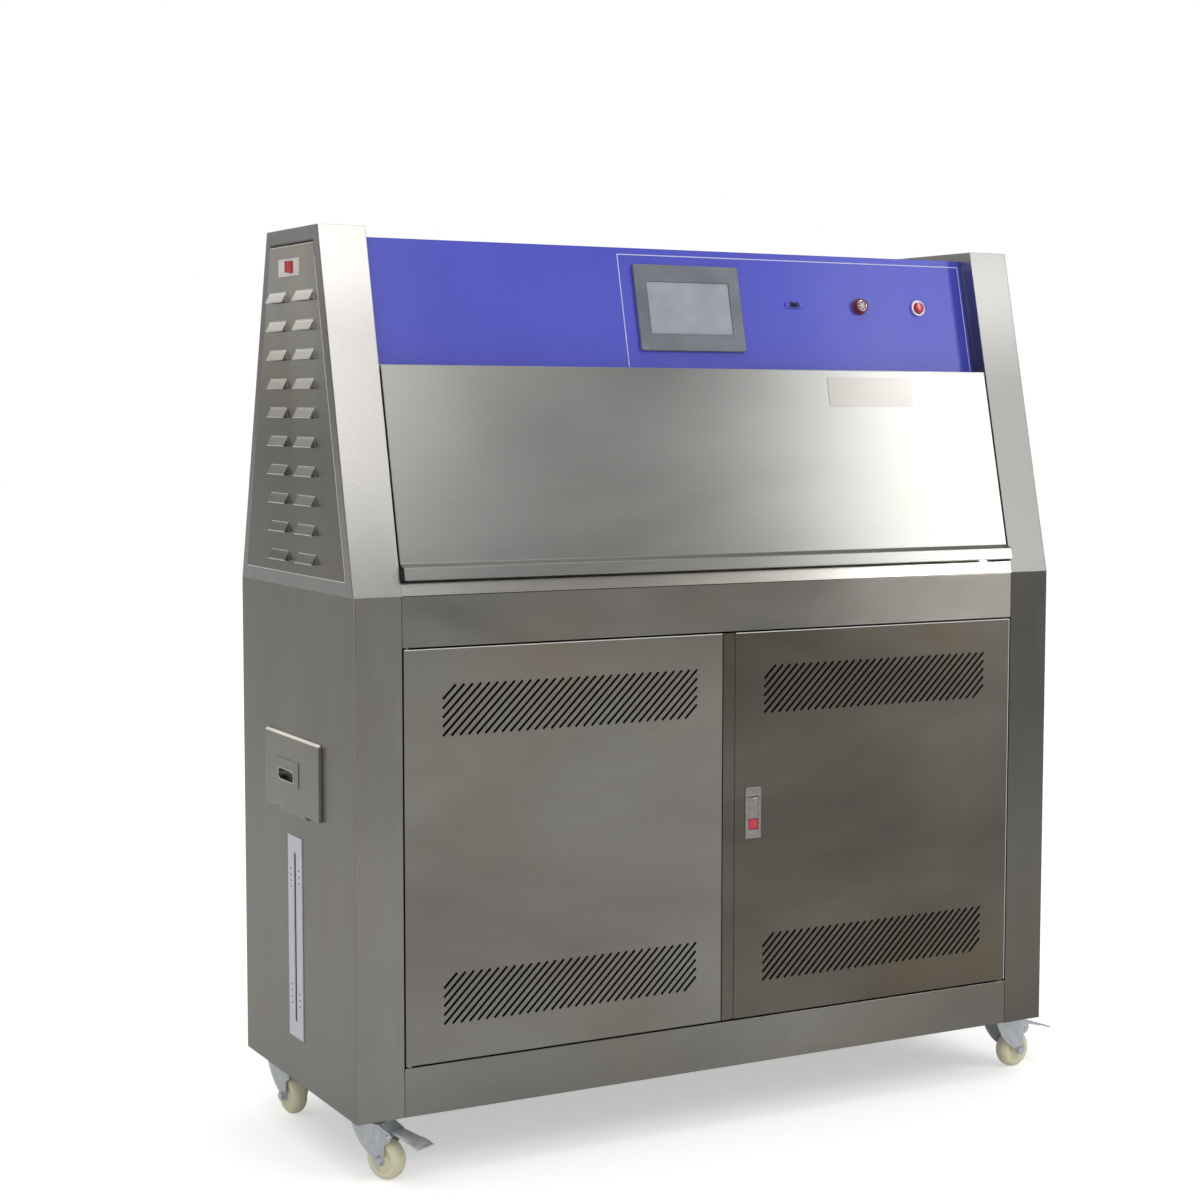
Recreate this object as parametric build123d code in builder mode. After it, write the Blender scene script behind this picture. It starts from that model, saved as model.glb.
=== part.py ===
from build123d import *
from math import atan2, cos, degrees, hypot, radians, sin, sqrt
import os

os.makedirs("parts", exist_ok=True)

# Fluorescent ultraviolet ageing chamber: a stainless cabinet on four swivel casters, with two end
# towers, a sloped specimen door front and rear between them, and a recessed control panel.
# Millimetres, +X to the right, front towards -Y, +Z up, origin on the floor below the middle.

# Driving dimensions of the casing
cabinet_width = 1300.0
cabinet_depth = 500.0
cabinet_height = 800.0
head_height = 560.0
floor_clearance = 100.0
front_setback = 135.0
rear_setback = 140.0
post_width = 78.0
post_flange = 28.0
rear_return = 25.0
casing_sheet = 2.0
door_sheet = 1.5
shut_gap = 3.0
seam_gap = 1.0
touch_gap = 0.3

# Driving dimensions of the cabinet front
beam_height = 78.0
beam_flange = 33.0
kick_height = 76.0
cabinet_door_depth = 16.0
door_meeting_x = -11.0
meeting_gap = 2.0
lip_width = 14.5
joggle_width = 8.5
joggle_depth = 1.6
door_pivot_radius = 3.0
door_pivot_inset = 7.0
door_pivot_depth = 6.0
running_clearance = 0.05
grille_length = 446.0
grille_height = 78.5
grille_slot_width = 4.0
grille_pitch = 14.13
grille_margin_top = 56.0
grille_margin_bottom = 58.0
left_grille_shift = 8.0

# Driving dimensions of the chamber doors and frames, measured along and off the slope
lid_top = 358.0
lid_bottom = 48.0
lid_depth = 30.0
lid_sheet = 1.5
lip_bottom = 22.0
lip_fold = 41.0
lip_reach = 13.0
lip_hem = 4.0
lid_pivot_radius = 3.0
lid_pivot_drop = 4.0
lid_pivot_depth = 8.0
seal_thickness = 3.5
seal_width = 14.0
seal_clearance = 0.5
frame_sheet = 2.0
frame_border = 28.0
sill_height = 20.0
panel_bottom = 367.0
panel_top = 569.5
panel_recess = 35.0

# Driving dimensions of the end towers
louvre_panel_inset = 22.0
louvre_panel_ledge = 8.0
louvre_top_slot = 4.0
louvre_width = 78.0
louvre_rise = 15.0
louvre_reach = 8.0
louvre_column_spacing = 120.0
louvre_row_pitch = 45.2
louvre_first_drop = 105.0
louvre_foot_margin = 40.0
breaker_drop = 60.0

# Driving dimensions of the lamps and specimen racks
lamp_diameter = 38.0
lamp_length = 1200.0
lamp_glass = 1.0
lamp_hole_clearance = 3.0
lamp_count = 4
lamp_pitch = 68.0
lamp_first = 118.0
lamp_depth = 118.0
holder_depth = 50.0
holder_width = 84.0
holder_length = 274.0
holder_sheet = 3.0
holder_count = 12

# Driving dimensions of the controls
display_width = 200.0
display_height = 146.0
display_proud = 6.0
screen_width = 156.0
screen_height = 88.0
display_x = 4.0
usb_x = 211.0
buzzer_x = 345.0
power_x = 468.0
control_bezel_diameter = 29.0
barrel_diameter = 22.0
power_travel = 4.0

# Driving dimensions of the casters
caster_x = 605.0
caster_y = 195.0
wheel_diameter = 65.0
wheel_width = 30.0
caster_trail = 30.0
axle_diameter = 8.0
kingpin_diameter = 10.0
pedal_reach = 108.0
front_left_yaw = 299.0
front_right_yaw = 7.0
rear_left_yaw = 278.0
rear_right_yaw = 30.0

# Places worked out from the driving dimensions
half_width = cabinet_width / 2
front_y = -cabinet_depth / 2
rear_y = cabinet_depth / 2
base_z = floor_clearance
deck_z = base_z + cabinet_height
top_z = deck_z + head_height
bay_half = half_width - post_width
louvre_rows = 1 + int((head_height - louvre_first_drop - louvre_foot_margin) / louvre_row_pitch)
front_slope_length = hypot(front_setback, head_height)
rear_slope_length = hypot(rear_setback, head_height)
door_top_z = deck_z - beam_height - shut_gap
door_bottom_z = base_z + kick_height + shut_gap

# Reference planes: local X to the right as seen from outside, local Y up, Z outwards
front_face = Plane(origin=(0, front_y, 0), x_dir=(1, 0, 0), z_dir=(0, -1, 0))
rear_face = Plane(origin=(0, rear_y, 0), x_dir=(-1, 0, 0), z_dir=(0, 1, 0))
front_slope = Plane(origin=(0, front_y, deck_z), x_dir=(1, 0, 0), z_dir=(0, -head_height, front_setback))
rear_slope = Plane(origin=(0, rear_y, deck_z), x_dir=(-1, 0, 0), z_dir=(0, head_height, rear_setback))


def side_face(side):
    """Plane on the outer face of one end, -1 for the left end and 1 for the right."""
    return Plane(origin=(side * half_width, 0, 0), x_dir=(0, side, 0), z_dir=(side, 0, 0))


def section_plane(slope, x):
    """Plane square to a slope at x: local X runs up the slope, local Y outwards."""
    origin = slope.origin + Vector(x, 0, 0)
    return Plane(origin=origin, x_dir=slope.y_dir, z_dir=slope.y_dir.cross(slope.z_dir))


def save(piece, name):
    """Label a finished piece and write its file."""
    piece.part.label = name
    export_step(piece.part, f"parts/{name}.step")


def corner(x, y, z, size_x, size_y, size_z, mode=Mode.ADD):
    """Box from its lowest corner."""
    with Locations((x, y, z)):
        Box(size_x, size_y, size_z, align=(Align.MIN, Align.MIN, Align.MIN), mode=mode)


# Side panels: outer sheet, folded front post with its inner flange, and a rear return
flap_width = 243.0
flap_height = 121.0
flap_centre_y = 6.0
flap_bottom_z = 542.0
flap_proud = 6.0
flap_mouth_margin = 18.0
flap_pin_radius = 1.25
flap_barrel_radius = 2.6
flap_barrel_length = 120.0
gauge_width = 62.0
gauge_height = 327.0
gauge_bottom_z = 174.0
gauge_slot_width = 9.0
gauge_slot_height = 276.0
tray_flange = 30.0
flap_pin_x = -half_width - flap_barrel_radius - touch_gap
flap_pin_z = flap_bottom_z - flap_barrel_radius - touch_gap


def build_side_panel(side):
    low = min(side * half_width, side * (half_width - casing_sheet))
    with BuildPart() as panel:
        corner(low, front_y, base_z, casing_sheet, cabinet_depth, cabinet_height)
        post_low = min(side * half_width, side * bay_half)
        corner(post_low, front_y, base_z, post_width, casing_sheet, cabinet_height)
        flange_low = min(side * bay_half, side * (bay_half + casing_sheet))
        notch = tray_flange + casing_sheet + touch_gap
        corner(flange_low, front_y, base_z + notch, casing_sheet, post_flange,
               cabinet_height - notch - casing_sheet - touch_gap)
        return_low = min(side * half_width, side * (half_width - rear_return))
        corner(return_low, rear_y - casing_sheet, base_z, rear_return, casing_sheet, cabinet_height)
        outer_fold = panel.edges().filter_by(Axis.Z).filter_by_position(
            Axis.X, side * half_width - 0.1, side * half_width + 0.1)
        fillet(outer_fold, casing_sheet * 0.8)
        if side < 0:
            with BuildSketch(side_face(side)):
                with Locations((-flap_centre_y, flap_bottom_z + flap_height / 2)):
                    RectangleRounded(flap_width - 2 * flap_mouth_margin,
                                     flap_height - 2 * flap_mouth_margin, flap_mouth_margin / 2)
                with Locations((-flap_centre_y, gauge_bottom_z + gauge_height / 2)):
                    SlotOverall(gauge_slot_height, gauge_slot_width, rotation=90)
            extrude(amount=-casing_sheet * 2, mode=Mode.SUBTRACT)
            for end in (-1, 1):
                lug_y = flap_centre_y + end * (flap_barrel_length / 2 + touch_gap + flap_barrel_radius)
                with BuildSketch(Plane.XZ.offset(-lug_y)):
                    with Locations((flap_pin_x, flap_pin_z)):
                        Circle(flap_barrel_radius)
                    with BuildLine():
                        Polyline((flap_pin_x, flap_pin_z + flap_barrel_radius),
                                 (flap_pin_x, flap_pin_z - flap_barrel_radius),
                                 (-half_width, flap_pin_z - flap_barrel_radius),
                                 (-half_width, flap_pin_z + flap_barrel_radius), close=True)
                    make_face()
                extrude(amount=flap_barrel_radius, both=True)
            with BuildSketch(Plane.XZ.offset(-flap_centre_y)):
                with Locations((flap_pin_x, flap_pin_z)):
                    Circle(flap_pin_radius)
            extrude(amount=flap_barrel_length / 2 + flap_barrel_radius, both=True)
    return panel


save(build_side_panel(-1), "side_panel_left")
save(build_side_panel(1), "side_panel_right")

# Rear panel behind the returns, with two fields of slots and holes for the ports
rear_vent_slot = 70.0
rear_vent_height = 6.0
rear_vent_pitch = 16.0
rear_vent_count = 9
rear_vent_columns = 3
rear_vent_spacing = 84.0
rear_vent_x = 380.0
rear_vent_z = 640.0
port_z = 190.0
inlet_x = -520.0
drain_x = -440.0
gland_x = 500.0
port_hole_radius = 12.0
rear_panel_y = rear_y - casing_sheet
with BuildPart() as rear_panel:
    rear_panel_half = half_width - casing_sheet - seam_gap
    corner(-rear_panel_half, rear_panel_y - casing_sheet, base_z + casing_sheet,
           2 * rear_panel_half, casing_sheet, cabinet_height - 2 * casing_sheet)
    with BuildSketch(rear_face):
        for side in (-1, 1):
            with Locations((side * rear_vent_x, rear_vent_z)):
                with GridLocations(rear_vent_spacing, rear_vent_pitch, rear_vent_columns, rear_vent_count):
                    Rectangle(rear_vent_slot, rear_vent_height)
        with Locations((-inlet_x, port_z), (-drain_x, port_z), (-gland_x, port_z)):
            Circle(port_hole_radius)
    extrude(amount=-3 * casing_sheet, mode=Mode.SUBTRACT)
save(rear_panel, "rear_panel")

# Base tray with upturned flanges front and rear; the caster plates bolt up under it
tray_half = half_width - casing_sheet
tray_rear_y = rear_panel_y - casing_sheet
with BuildPart() as base_tray:
    corner(-tray_half, front_y + casing_sheet, base_z, 2 * tray_half,
           tray_rear_y - front_y - casing_sheet, casing_sheet)
    for flange_y in (front_y + casing_sheet, tray_rear_y - casing_sheet):
        corner(-tray_half, flange_y, base_z, 2 * tray_half, casing_sheet, tray_flange + casing_sheet)
save(base_tray, "base_tray")

# Deck between the cabinet and the chamber, with a drain hole and a cable slot at each end
deck_drain_radius = 18.0
deck_slot_length = 120.0
deck_slot_width = 30.0
deck_drain_y = 90.0
with BuildPart() as deck:
    corner(-tray_half, front_y + casing_sheet, deck_z - casing_sheet, 2 * tray_half,
           tray_rear_y - front_y - casing_sheet, casing_sheet)
    with Locations((0, deck_drain_y, deck_z)):
        Hole(deck_drain_radius)
    with BuildSketch(Plane.XY.offset(deck_z)):
        with Locations((-half_width + post_width / 2, 0), (half_width - post_width / 2, 0)):
            SlotOverall(deck_slot_length, deck_slot_width, rotation=90)
    extrude(amount=-2 * casing_sheet, mode=Mode.SUBTRACT)
save(deck, "deck_plate")

# Front beam and kick panel: channels that carry the pivots of the cabinet doors
pivot_x = bay_half - shut_gap - door_pivot_inset
pivot_y = front_y + door_pivot_depth
rail_half = bay_half - seam_gap
pivot_hole_radius = door_pivot_radius + running_clearance


def build_rail(low_z, height, pivot_at_bottom):
    with BuildPart() as rail:
        corner(-rail_half, front_y, low_z, 2 * rail_half, casing_sheet, height)
        fold = rail.edges().filter_by(Axis.X).group_by(Axis.Y)[0]
        fillet(fold, casing_sheet * 0.4)
        low_flange = low_z if pivot_at_bottom else low_z + height - casing_sheet
        corner(-rail_half, front_y + casing_sheet, low_flange, 2 * rail_half,
               beam_flange - casing_sheet, casing_sheet)
        if pivot_at_bottom:
            corner(-rail_half, front_y + casing_sheet, low_z + height - 2 * casing_sheet,
                   2 * rail_half, beam_flange - casing_sheet, casing_sheet)
        for side in (-1, 1):
            with BuildSketch(Plane.XY.offset(low_flange - casing_sheet)):
                with Locations((side * pivot_x, pivot_y)):
                    Circle(pivot_hole_radius)
            extrude(amount=3 * casing_sheet, mode=Mode.SUBTRACT)
    return rail


save(build_rail(deck_z - beam_height, beam_height, True), "front_beam")
save(build_rail(base_z, kick_height, False), "kick_panel")

# Cabinet doors: folded pans with four diagonal grilles, pivot pins and a latch cut-out
latch_x = 47.5
latch_rise = 21.5
latch_z = (door_bottom_z + door_top_z) / 2 + latch_rise
latch_width = 30.0
latch_height = 86.0
latch_flange = 2.0
latch_body_margin = 2.5
latch_body_depth = 20.0
rib_margin = 152.0
rib_height = 20.0
rib_depth = 8.0
joggle_overlap = 0.1
pivot_collar_radius = 5.5
pivot_reach = 7.0
left_door_low_x = -(bay_half - shut_gap)
left_door_high_x = door_meeting_x - meeting_gap / 2
right_door_low_x = door_meeting_x + meeting_gap / 2
right_door_high_x = bay_half - shut_gap
step_x = right_door_low_x + lip_width + joggle_width
grille_slack = grille_length - grille_height
grille_full_slots = round(grille_slack / grille_pitch) + 1


def grille_slots():
    """Diagonal slots clipped by the grille's rectangle, drawn about its centre."""
    half_long, half_high = grille_length / 2, grille_height / 2
    step = grille_slack / (grille_full_slots - 1)
    cut_off = int((grille_height - 2 * grille_slot_width) / step)
    for index in range(-cut_off, grille_full_slots + cut_off):
        shift = index * step - grille_slack / 2
        low = max(-half_high, -half_long - shift)
        high = min(half_high, half_long - shift)
        length = (high - low) * sqrt(2)
        if length > 5 * grille_slot_width:
            middle = (low + high) / 2
            with Locations((middle + shift, middle)):
                Rectangle(length, grille_slot_width, rotation=45)


def build_cabinet_door(low_x, high_x, pivot_side):
    height = door_top_z - door_bottom_z
    width = high_x - low_x
    panel_low = low_x if pivot_side < 0 else step_x
    grille_x = (panel_low + high_x) / 2 + (left_grille_shift if pivot_side < 0 else 0)
    with BuildPart() as door:
        corner(low_x, front_y, door_bottom_z, width, cabinet_door_depth, height)
        corner(low_x + door_sheet, front_y + door_sheet, door_bottom_z + door_sheet,
               width - 2 * door_sheet, cabinet_door_depth, height - 2 * door_sheet, Mode.SUBTRACT)
        if pivot_side > 0:
            corner(low_x + lip_width, front_y, door_bottom_z, joggle_width, joggle_depth, height,
                   Mode.SUBTRACT)
            corner(low_x + lip_width - door_sheet, front_y + door_sheet, door_bottom_z + door_sheet,
                   joggle_width + 2 * door_sheet, joggle_depth, height - 2 * door_sheet)
        with BuildSketch(front_face):
            for grille_z in (door_top_z - grille_margin_top - grille_height / 2,
                             door_bottom_z + grille_margin_bottom + grille_height / 2):
                with Locations((grille_x, grille_z)):
                    grille_slots()
            if pivot_side > 0:
                with Locations((latch_x, latch_z)):
                    Rectangle(latch_width - 2 * latch_body_margin + seam_gap,
                              latch_height - 2 * latch_body_margin + seam_gap)
        extrude(amount=-2 * door_sheet, mode=Mode.SUBTRACT)
        for rib_z in (door_top_z - rib_margin, door_bottom_z + rib_margin):
            corner(low_x + door_sheet / 2, front_y + door_sheet - joggle_overlap, rib_z - rib_height / 2,
                   width - door_sheet, rib_depth, rib_height)
        for base, reach in ((door_top_z - door_sheet, door_sheet + pivot_reach),
                            (door_bottom_z - pivot_reach, door_sheet + pivot_reach)):
            with BuildSketch(Plane.XY.offset(base)):
                with Locations((pivot_side * pivot_x, pivot_y)):
                    Circle(door_pivot_radius)
            extrude(amount=reach)
        with BuildSketch(Plane.XY.offset(door_bottom_z - shut_gap + touch_gap)):
            with Locations((pivot_side * pivot_x, pivot_y)):
                Circle(pivot_collar_radius)
        extrude(amount=shut_gap - touch_gap)
    return door


save(build_cabinet_door(left_door_low_x, left_door_high_x, -1), "door_left")
save(build_cabinet_door(right_door_low_x, right_door_high_x, 1), "door_right")

# Flush push-to-open latch on the right door: frame with its housing, lever and button
lever_width = 18.0
lever_height = 36.0
lever_thickness = 5.0
lever_pivot_inset = 4.0
lever_pin_radius = 1.5
latch_clearance = 0.6
button_height = 17.0
button_depth = 12.0
button_travel = 4.0
latch_wall = 1.5
latch_pocket_top = latch_z + latch_height / 2 - 16.0
lever_top_z = latch_pocket_top - latch_clearance
lever_bottom_z = lever_top_z - lever_height
button_top_z = lever_bottom_z - latch_clearance
button_bottom_z = button_top_z - button_height
latch_pocket_bottom = button_bottom_z - latch_clearance
lever_pivot_z = lever_top_z - lever_pivot_inset
latch_face_y = front_y - latch_flange
lever_pivot_y = latch_face_y + lever_pivot_inset
pocket_half = lever_width / 2 + latch_clearance
with BuildPart() as latch_frame:
    with BuildSketch(front_face):
        with Locations((latch_x, latch_z)):
            RectangleRounded(latch_width, latch_height, latch_flange)
    extrude(amount=latch_flange)
    chamfer(latch_frame.faces().sort_by(Axis.Y)[0].edges(), latch_flange * 0.4)
    body_half_x = latch_width / 2 - latch_body_margin
    body_half_z = latch_height / 2 - latch_body_margin
    corner(latch_x - body_half_x, front_y, latch_z - body_half_z,
           2 * body_half_x, latch_body_depth, 2 * body_half_z)
    corner(latch_x - pocket_half, latch_face_y, latch_pocket_bottom, 2 * pocket_half,
           latch_flange + latch_body_depth - latch_wall, latch_pocket_top - latch_pocket_bottom,
           Mode.SUBTRACT)
    with BuildSketch(Plane.YZ.offset(latch_x)):
        with Locations((lever_pivot_y, lever_pivot_z)):
            Circle(lever_pin_radius)
    extrude(amount=body_half_x, both=True)
save(latch_frame, "latch_frame")

with BuildPart() as latch_lever:
    with BuildSketch(Plane.YZ.offset(latch_x)):
        with BuildLine():
            Polyline((latch_face_y, lever_pivot_z), (latch_face_y, lever_bottom_z),
                     (latch_face_y + lever_thickness, lever_bottom_z),
                     (latch_face_y + lever_thickness, lever_pivot_z - lever_pivot_inset),
                     (lever_pivot_y + lever_pivot_inset, lever_pivot_z), close=True)
        make_face()
        with Locations((lever_pivot_y, lever_pivot_z)):
            Circle(lever_pivot_inset)
            Circle(lever_pin_radius + running_clearance, mode=Mode.SUBTRACT)
    extrude(amount=lever_width / 2, both=True)
save(latch_lever, "latch_lever")

with BuildPart() as latch_button:
    corner(latch_x - lever_width / 2, latch_face_y, button_bottom_z, lever_width, button_depth,
           button_height)
    chamfer(latch_button.faces().sort_by(Axis.Y)[0].edges(), lever_thickness * 0.2)
    corner(latch_x - lever_width / 6, latch_face_y + button_depth, button_bottom_z + button_height / 3,
           lever_width / 3,
           latch_flange + latch_body_depth - latch_wall - button_depth - button_travel - touch_gap,
           button_height / 3)
save(latch_button, "latch_button")

# Fill flap on the left end: a shallow pan that tilts out on a pin below it, with a cup pull
flap_face_x = -half_width - flap_proud
flap_back_x = -half_width - touch_gap
flap_bevel = 4.0
pull_plate_width = 104.0
pull_plate_height = 40.0
pull_plate_sheet = 1.2
pull_width = 74.0
pull_height = 20.0
pull_depth = 12.0
pull_shift = 18.0
pull_rise = 61.0
cup_shift = 2.0
cup_drop = 6.0
pull_centre_y = flap_centre_y + pull_shift
pull_centre_z = flap_bottom_z + pull_rise
cup_centre_y = pull_centre_y + cup_shift
cup_centre_z = pull_centre_z - cup_drop
pull_clearance = 0.5
with BuildPart() as fill_flap:
    corner(flap_face_x, flap_centre_y - flap_width / 2, flap_bottom_z,
           flap_back_x - flap_face_x, flap_width, flap_height)
    top_front = fill_flap.edges().filter_by(Axis.Y).sort_by(Axis.Z)[-2:].sort_by(Axis.X)[0]
    chamfer(top_front, flap_bevel)
    corner(flap_face_x + door_sheet, flap_centre_y - flap_width / 2 + door_sheet,
           flap_bottom_z + door_sheet, flap_proud, flap_width - 2 * door_sheet,
           flap_height - flap_bevel - 2 * door_sheet, Mode.SUBTRACT)
    with BuildSketch(Plane.XZ.offset(-flap_centre_y)):
        with Locations((flap_pin_x, flap_pin_z)):
            Circle(flap_barrel_radius)
        with BuildLine():
            Polyline((flap_pin_x - flap_barrel_radius, flap_pin_z),
                     (flap_pin_x, flap_pin_z),
                     (flap_pin_x, flap_bottom_z + door_sheet),
                     (flap_pin_x - flap_barrel_radius, flap_bottom_z + door_sheet), close=True)
        make_face()
        with Locations((flap_pin_x, flap_pin_z)):
            Circle(flap_pin_radius + running_clearance, mode=Mode.SUBTRACT)
    extrude(amount=flap_barrel_length / 2, both=True)
    with BuildSketch(side_face(-1).offset(flap_proud)):
        with Locations((-cup_centre_y, cup_centre_z)):
            RectangleRounded(pull_width + 2 * pull_clearance, pull_height + 2 * pull_clearance,
                             pull_height / 2)
    extrude(amount=-2 * door_sheet, mode=Mode.SUBTRACT)
save(fill_flap, "fill_flap")

with BuildPart() as flap_pull:
    with BuildSketch(side_face(-1).offset(flap_proud)):
        with Locations((-pull_centre_y, pull_centre_z)):
            Rectangle(pull_plate_width, pull_plate_height)
    extrude(amount=pull_plate_sheet)
    with BuildSketch(side_face(-1).offset(flap_proud)):
        with Locations((-cup_centre_y, cup_centre_z)):
            RectangleRounded(pull_width, pull_height, pull_height / 2 - touch_gap)
    extrude(amount=-pull_depth)
    with BuildSketch(side_face(-1).offset(flap_proud + pull_plate_sheet)):
        with Locations((-cup_centre_y, cup_centre_z)):
            RectangleRounded(pull_width - 2 * door_sheet, pull_height - 2 * door_sheet,
                             pull_height / 2 - 2 * door_sheet)
    extrude(amount=pull_plate_sheet - flap_proud - pull_depth + flap_proud - door_sheet,
            mode=Mode.SUBTRACT)
save(flap_pull, "flap_pull")

# Level gauge on the left end: slotted cover plate and the sight tube behind it
gauge_sheet = 1.5
sight_tube_radius = 6.0
sight_tube_wall = 1.2
sight_tube_x = -half_width + casing_sheet + sight_tube_radius + touch_gap
sight_centre_z = gauge_bottom_z + gauge_height / 2
sight_half = gauge_slot_height / 2 + 8.0
with BuildPart() as gauge_plate:
    with BuildSketch(side_face(-1)):
        with Locations((-flap_centre_y, sight_centre_z)):
            RectangleRounded(gauge_width, gauge_height, gauge_sheet)
            SlotOverall(gauge_slot_height, gauge_slot_width, rotation=90, mode=Mode.SUBTRACT)
    extrude(amount=gauge_sheet)
save(gauge_plate, "gauge_plate")

# Water tank with a filler chute, beside the sight tube that two elbows join to it
tank_length = 230.0
tank_depth = 340.0
tank_height = 380.0
tank_wall = 4.0
tank_side_clearance = 26.0
tank_low_x = -half_width + tank_side_clearance
tank_low_y = flap_centre_y - tank_depth / 2
tank_low_z = base_z + casing_sheet
tank_top_z = tank_low_z + tank_height
chute_half = 70.0
chute_reach = 110.0
chute_mouth_low = flap_bottom_z + flap_mouth_margin
chute_mouth_high = flap_bottom_z + flap_height - flap_mouth_margin
chute_mouth_x = -half_width + casing_sheet + touch_gap
chute_wall = 2.0


def chute_points(inset, lift=0.0):
    """Open filler trough from the mouth behind the flap down to the tank, in X and Z."""
    return [(chute_mouth_x - 2 * inset, chute_mouth_low + inset),
            (chute_mouth_x - 2 * inset, chute_mouth_high + lift),
            (tank_low_x + chute_reach - inset, tank_top_z + 2 * tank_wall + lift),
            (tank_low_x + chute_reach - inset, tank_top_z - tank_wall - inset),
            (tank_low_x + tank_wall + inset, tank_top_z - tank_wall - inset),
            (tank_low_x + tank_wall + inset, tank_top_z + tank_wall)]


with BuildPart() as water_tank:
    corner(tank_low_x, tank_low_y, tank_low_z, tank_length, tank_depth, tank_height)
    fillet(water_tank.edges().filter_by(Axis.Z), 3 * tank_wall)
    with BuildSketch(Plane.XZ.offset(-flap_centre_y)):
        with BuildLine():
            Polyline(*chute_points(0), close=True)
        make_face()
    extrude(amount=chute_half, both=True)
    corner(tank_low_x + tank_wall, tank_low_y + tank_wall, tank_low_z + tank_wall,
           tank_length - 2 * tank_wall, tank_depth - 2 * tank_wall, tank_height - 2 * tank_wall,
           Mode.SUBTRACT)
    with BuildSketch(Plane.XZ.offset(-flap_centre_y)):
        with BuildLine():
            Polyline(*chute_points(chute_wall, 2 * chute_wall), close=True)
        make_face()
    extrude(amount=chute_half - chute_wall, both=True, mode=Mode.SUBTRACT)
save(water_tank, "water_tank")

with BuildPart() as sight_tube:
    with BuildSketch(Plane.XY.offset(sight_centre_z - sight_half)):
        with Locations((sight_tube_x, flap_centre_y)):
            Circle(sight_tube_radius)
    extrude(amount=2 * sight_half)
    for end in (-1, 1):
        with BuildSketch(Plane.YZ.offset(sight_tube_x)):
            with Locations((flap_centre_y, sight_centre_z + end * (sight_half - sight_tube_radius))):
                Circle(sight_tube_radius - sight_tube_wall)
        extrude(amount=tank_low_x - sight_tube_x)
    with BuildSketch(Plane.XY.offset(sight_centre_z - sight_half + sight_tube_wall)):
        with Locations((sight_tube_x, flap_centre_y)):
            Circle(sight_tube_radius - sight_tube_wall)
    extrude(amount=2 * (sight_half - sight_tube_wall), mode=Mode.SUBTRACT)
save(sight_tube, "sight_tube")

# End towers: folded shells with a trapezoidal side, a ledge for the louvre panel,
# holes for the lamps and for the door pivots in the inner wall
lamp_radius = lamp_diameter / 2


def head_points(inset=0.0, top_inset=None):
    """Side outline of the head in Y and Z, moved inwards by an inset."""
    low_z = deck_z + inset
    high_z = top_z - (inset if top_inset is None else top_inset)
    front_shift = inset * front_slope_length / head_height
    rear_shift = inset * rear_slope_length / head_height
    front_run = front_setback / head_height
    rear_run = rear_setback / head_height
    return [(front_y + (low_z - deck_z) * front_run + front_shift, low_z),
            (front_y + (high_z - deck_z) * front_run + front_shift, high_z),
            (rear_y - (high_z - deck_z) * rear_run - rear_shift, high_z),
            (rear_y - (low_z - deck_z) * rear_run - rear_shift, low_z)]


def on_slope(slope, along, off):
    """Point of the middle section from its distance up a slope and off it, outwards."""
    return slope.origin + slope.y_dir * along + slope.z_dir * off


def lamp_centres():
    """Y and Z of each lamp, front bank first."""
    for slope in (front_slope, rear_slope):
        for index in range(lamp_count):
            point = on_slope(slope, lamp_first + index * lamp_pitch, -lamp_depth)
            yield point.Y, point.Z


lid_pivots = [on_slope(slope, lid_top - lid_pivot_drop, -lid_pivot_depth)
              for slope in (front_slope, rear_slope)]


def build_tower(side):
    with BuildPart() as tower:
        with BuildSketch(Plane.YZ.offset(side * half_width)):
            Polygon(*head_points())
        extrude(amount=-side * post_width)
        outer_edges = tower.edges().filter_by_position(
            Axis.X, side * half_width - seam_gap, side * half_width + seam_gap)
        fillet([edge for edge in outer_edges if edge.bounding_box().size.Z > head_height / 2],
               casing_sheet * 0.8)
        with BuildSketch(Plane.YZ.offset(side * (half_width - casing_sheet))):
            Polygon(*head_points(casing_sheet))
        extrude(amount=-side * (post_width - 2 * casing_sheet), mode=Mode.SUBTRACT)
        with BuildSketch(Plane.YZ.offset(side * half_width)):
            Polygon(*head_points(louvre_panel_inset - seam_gap))
        extrude(amount=-side * casing_sheet, mode=Mode.SUBTRACT)
        with BuildSketch(Plane.YZ.offset(side * (half_width - casing_sheet))):
            Polygon(*head_points(louvre_panel_inset - louvre_panel_ledge))
            Polygon(*head_points(louvre_panel_inset + louvre_panel_ledge), mode=Mode.SUBTRACT)
        extrude(amount=-side * door_sheet)
        with BuildSketch(Plane.YZ.offset(side * bay_half)):
            with Locations(*lamp_centres()):
                Circle(lamp_radius + lamp_hole_clearance)
            with Locations(*[(pivot.Y, pivot.Z) for pivot in lid_pivots]):
                Circle(lid_pivot_radius + running_clearance)
        extrude(amount=side * 2 * casing_sheet, mode=Mode.SUBTRACT)
    return tower


save(build_tower(-1), "tower_left")
save(build_tower(1), "tower_right")

# Louvre panels: pressed hoods that open downwards; the left one holds the breaker
breaker_y = 7.4
breaker_z = top_z - breaker_drop
breaker_frame_width = 90.0
breaker_frame_height = 27.0
breaker_hole_margin = 3.0
louvre_wall = 1.4
louvre_first_z = top_z - louvre_first_drop


def louvre_plane(side, y, z):
    """Plane across one hood, local X outwards and local Y up."""
    return Plane(origin=(side * half_width, y, z), x_dir=(side, 0, 0), z_dir=(0, -side, 0))


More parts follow.
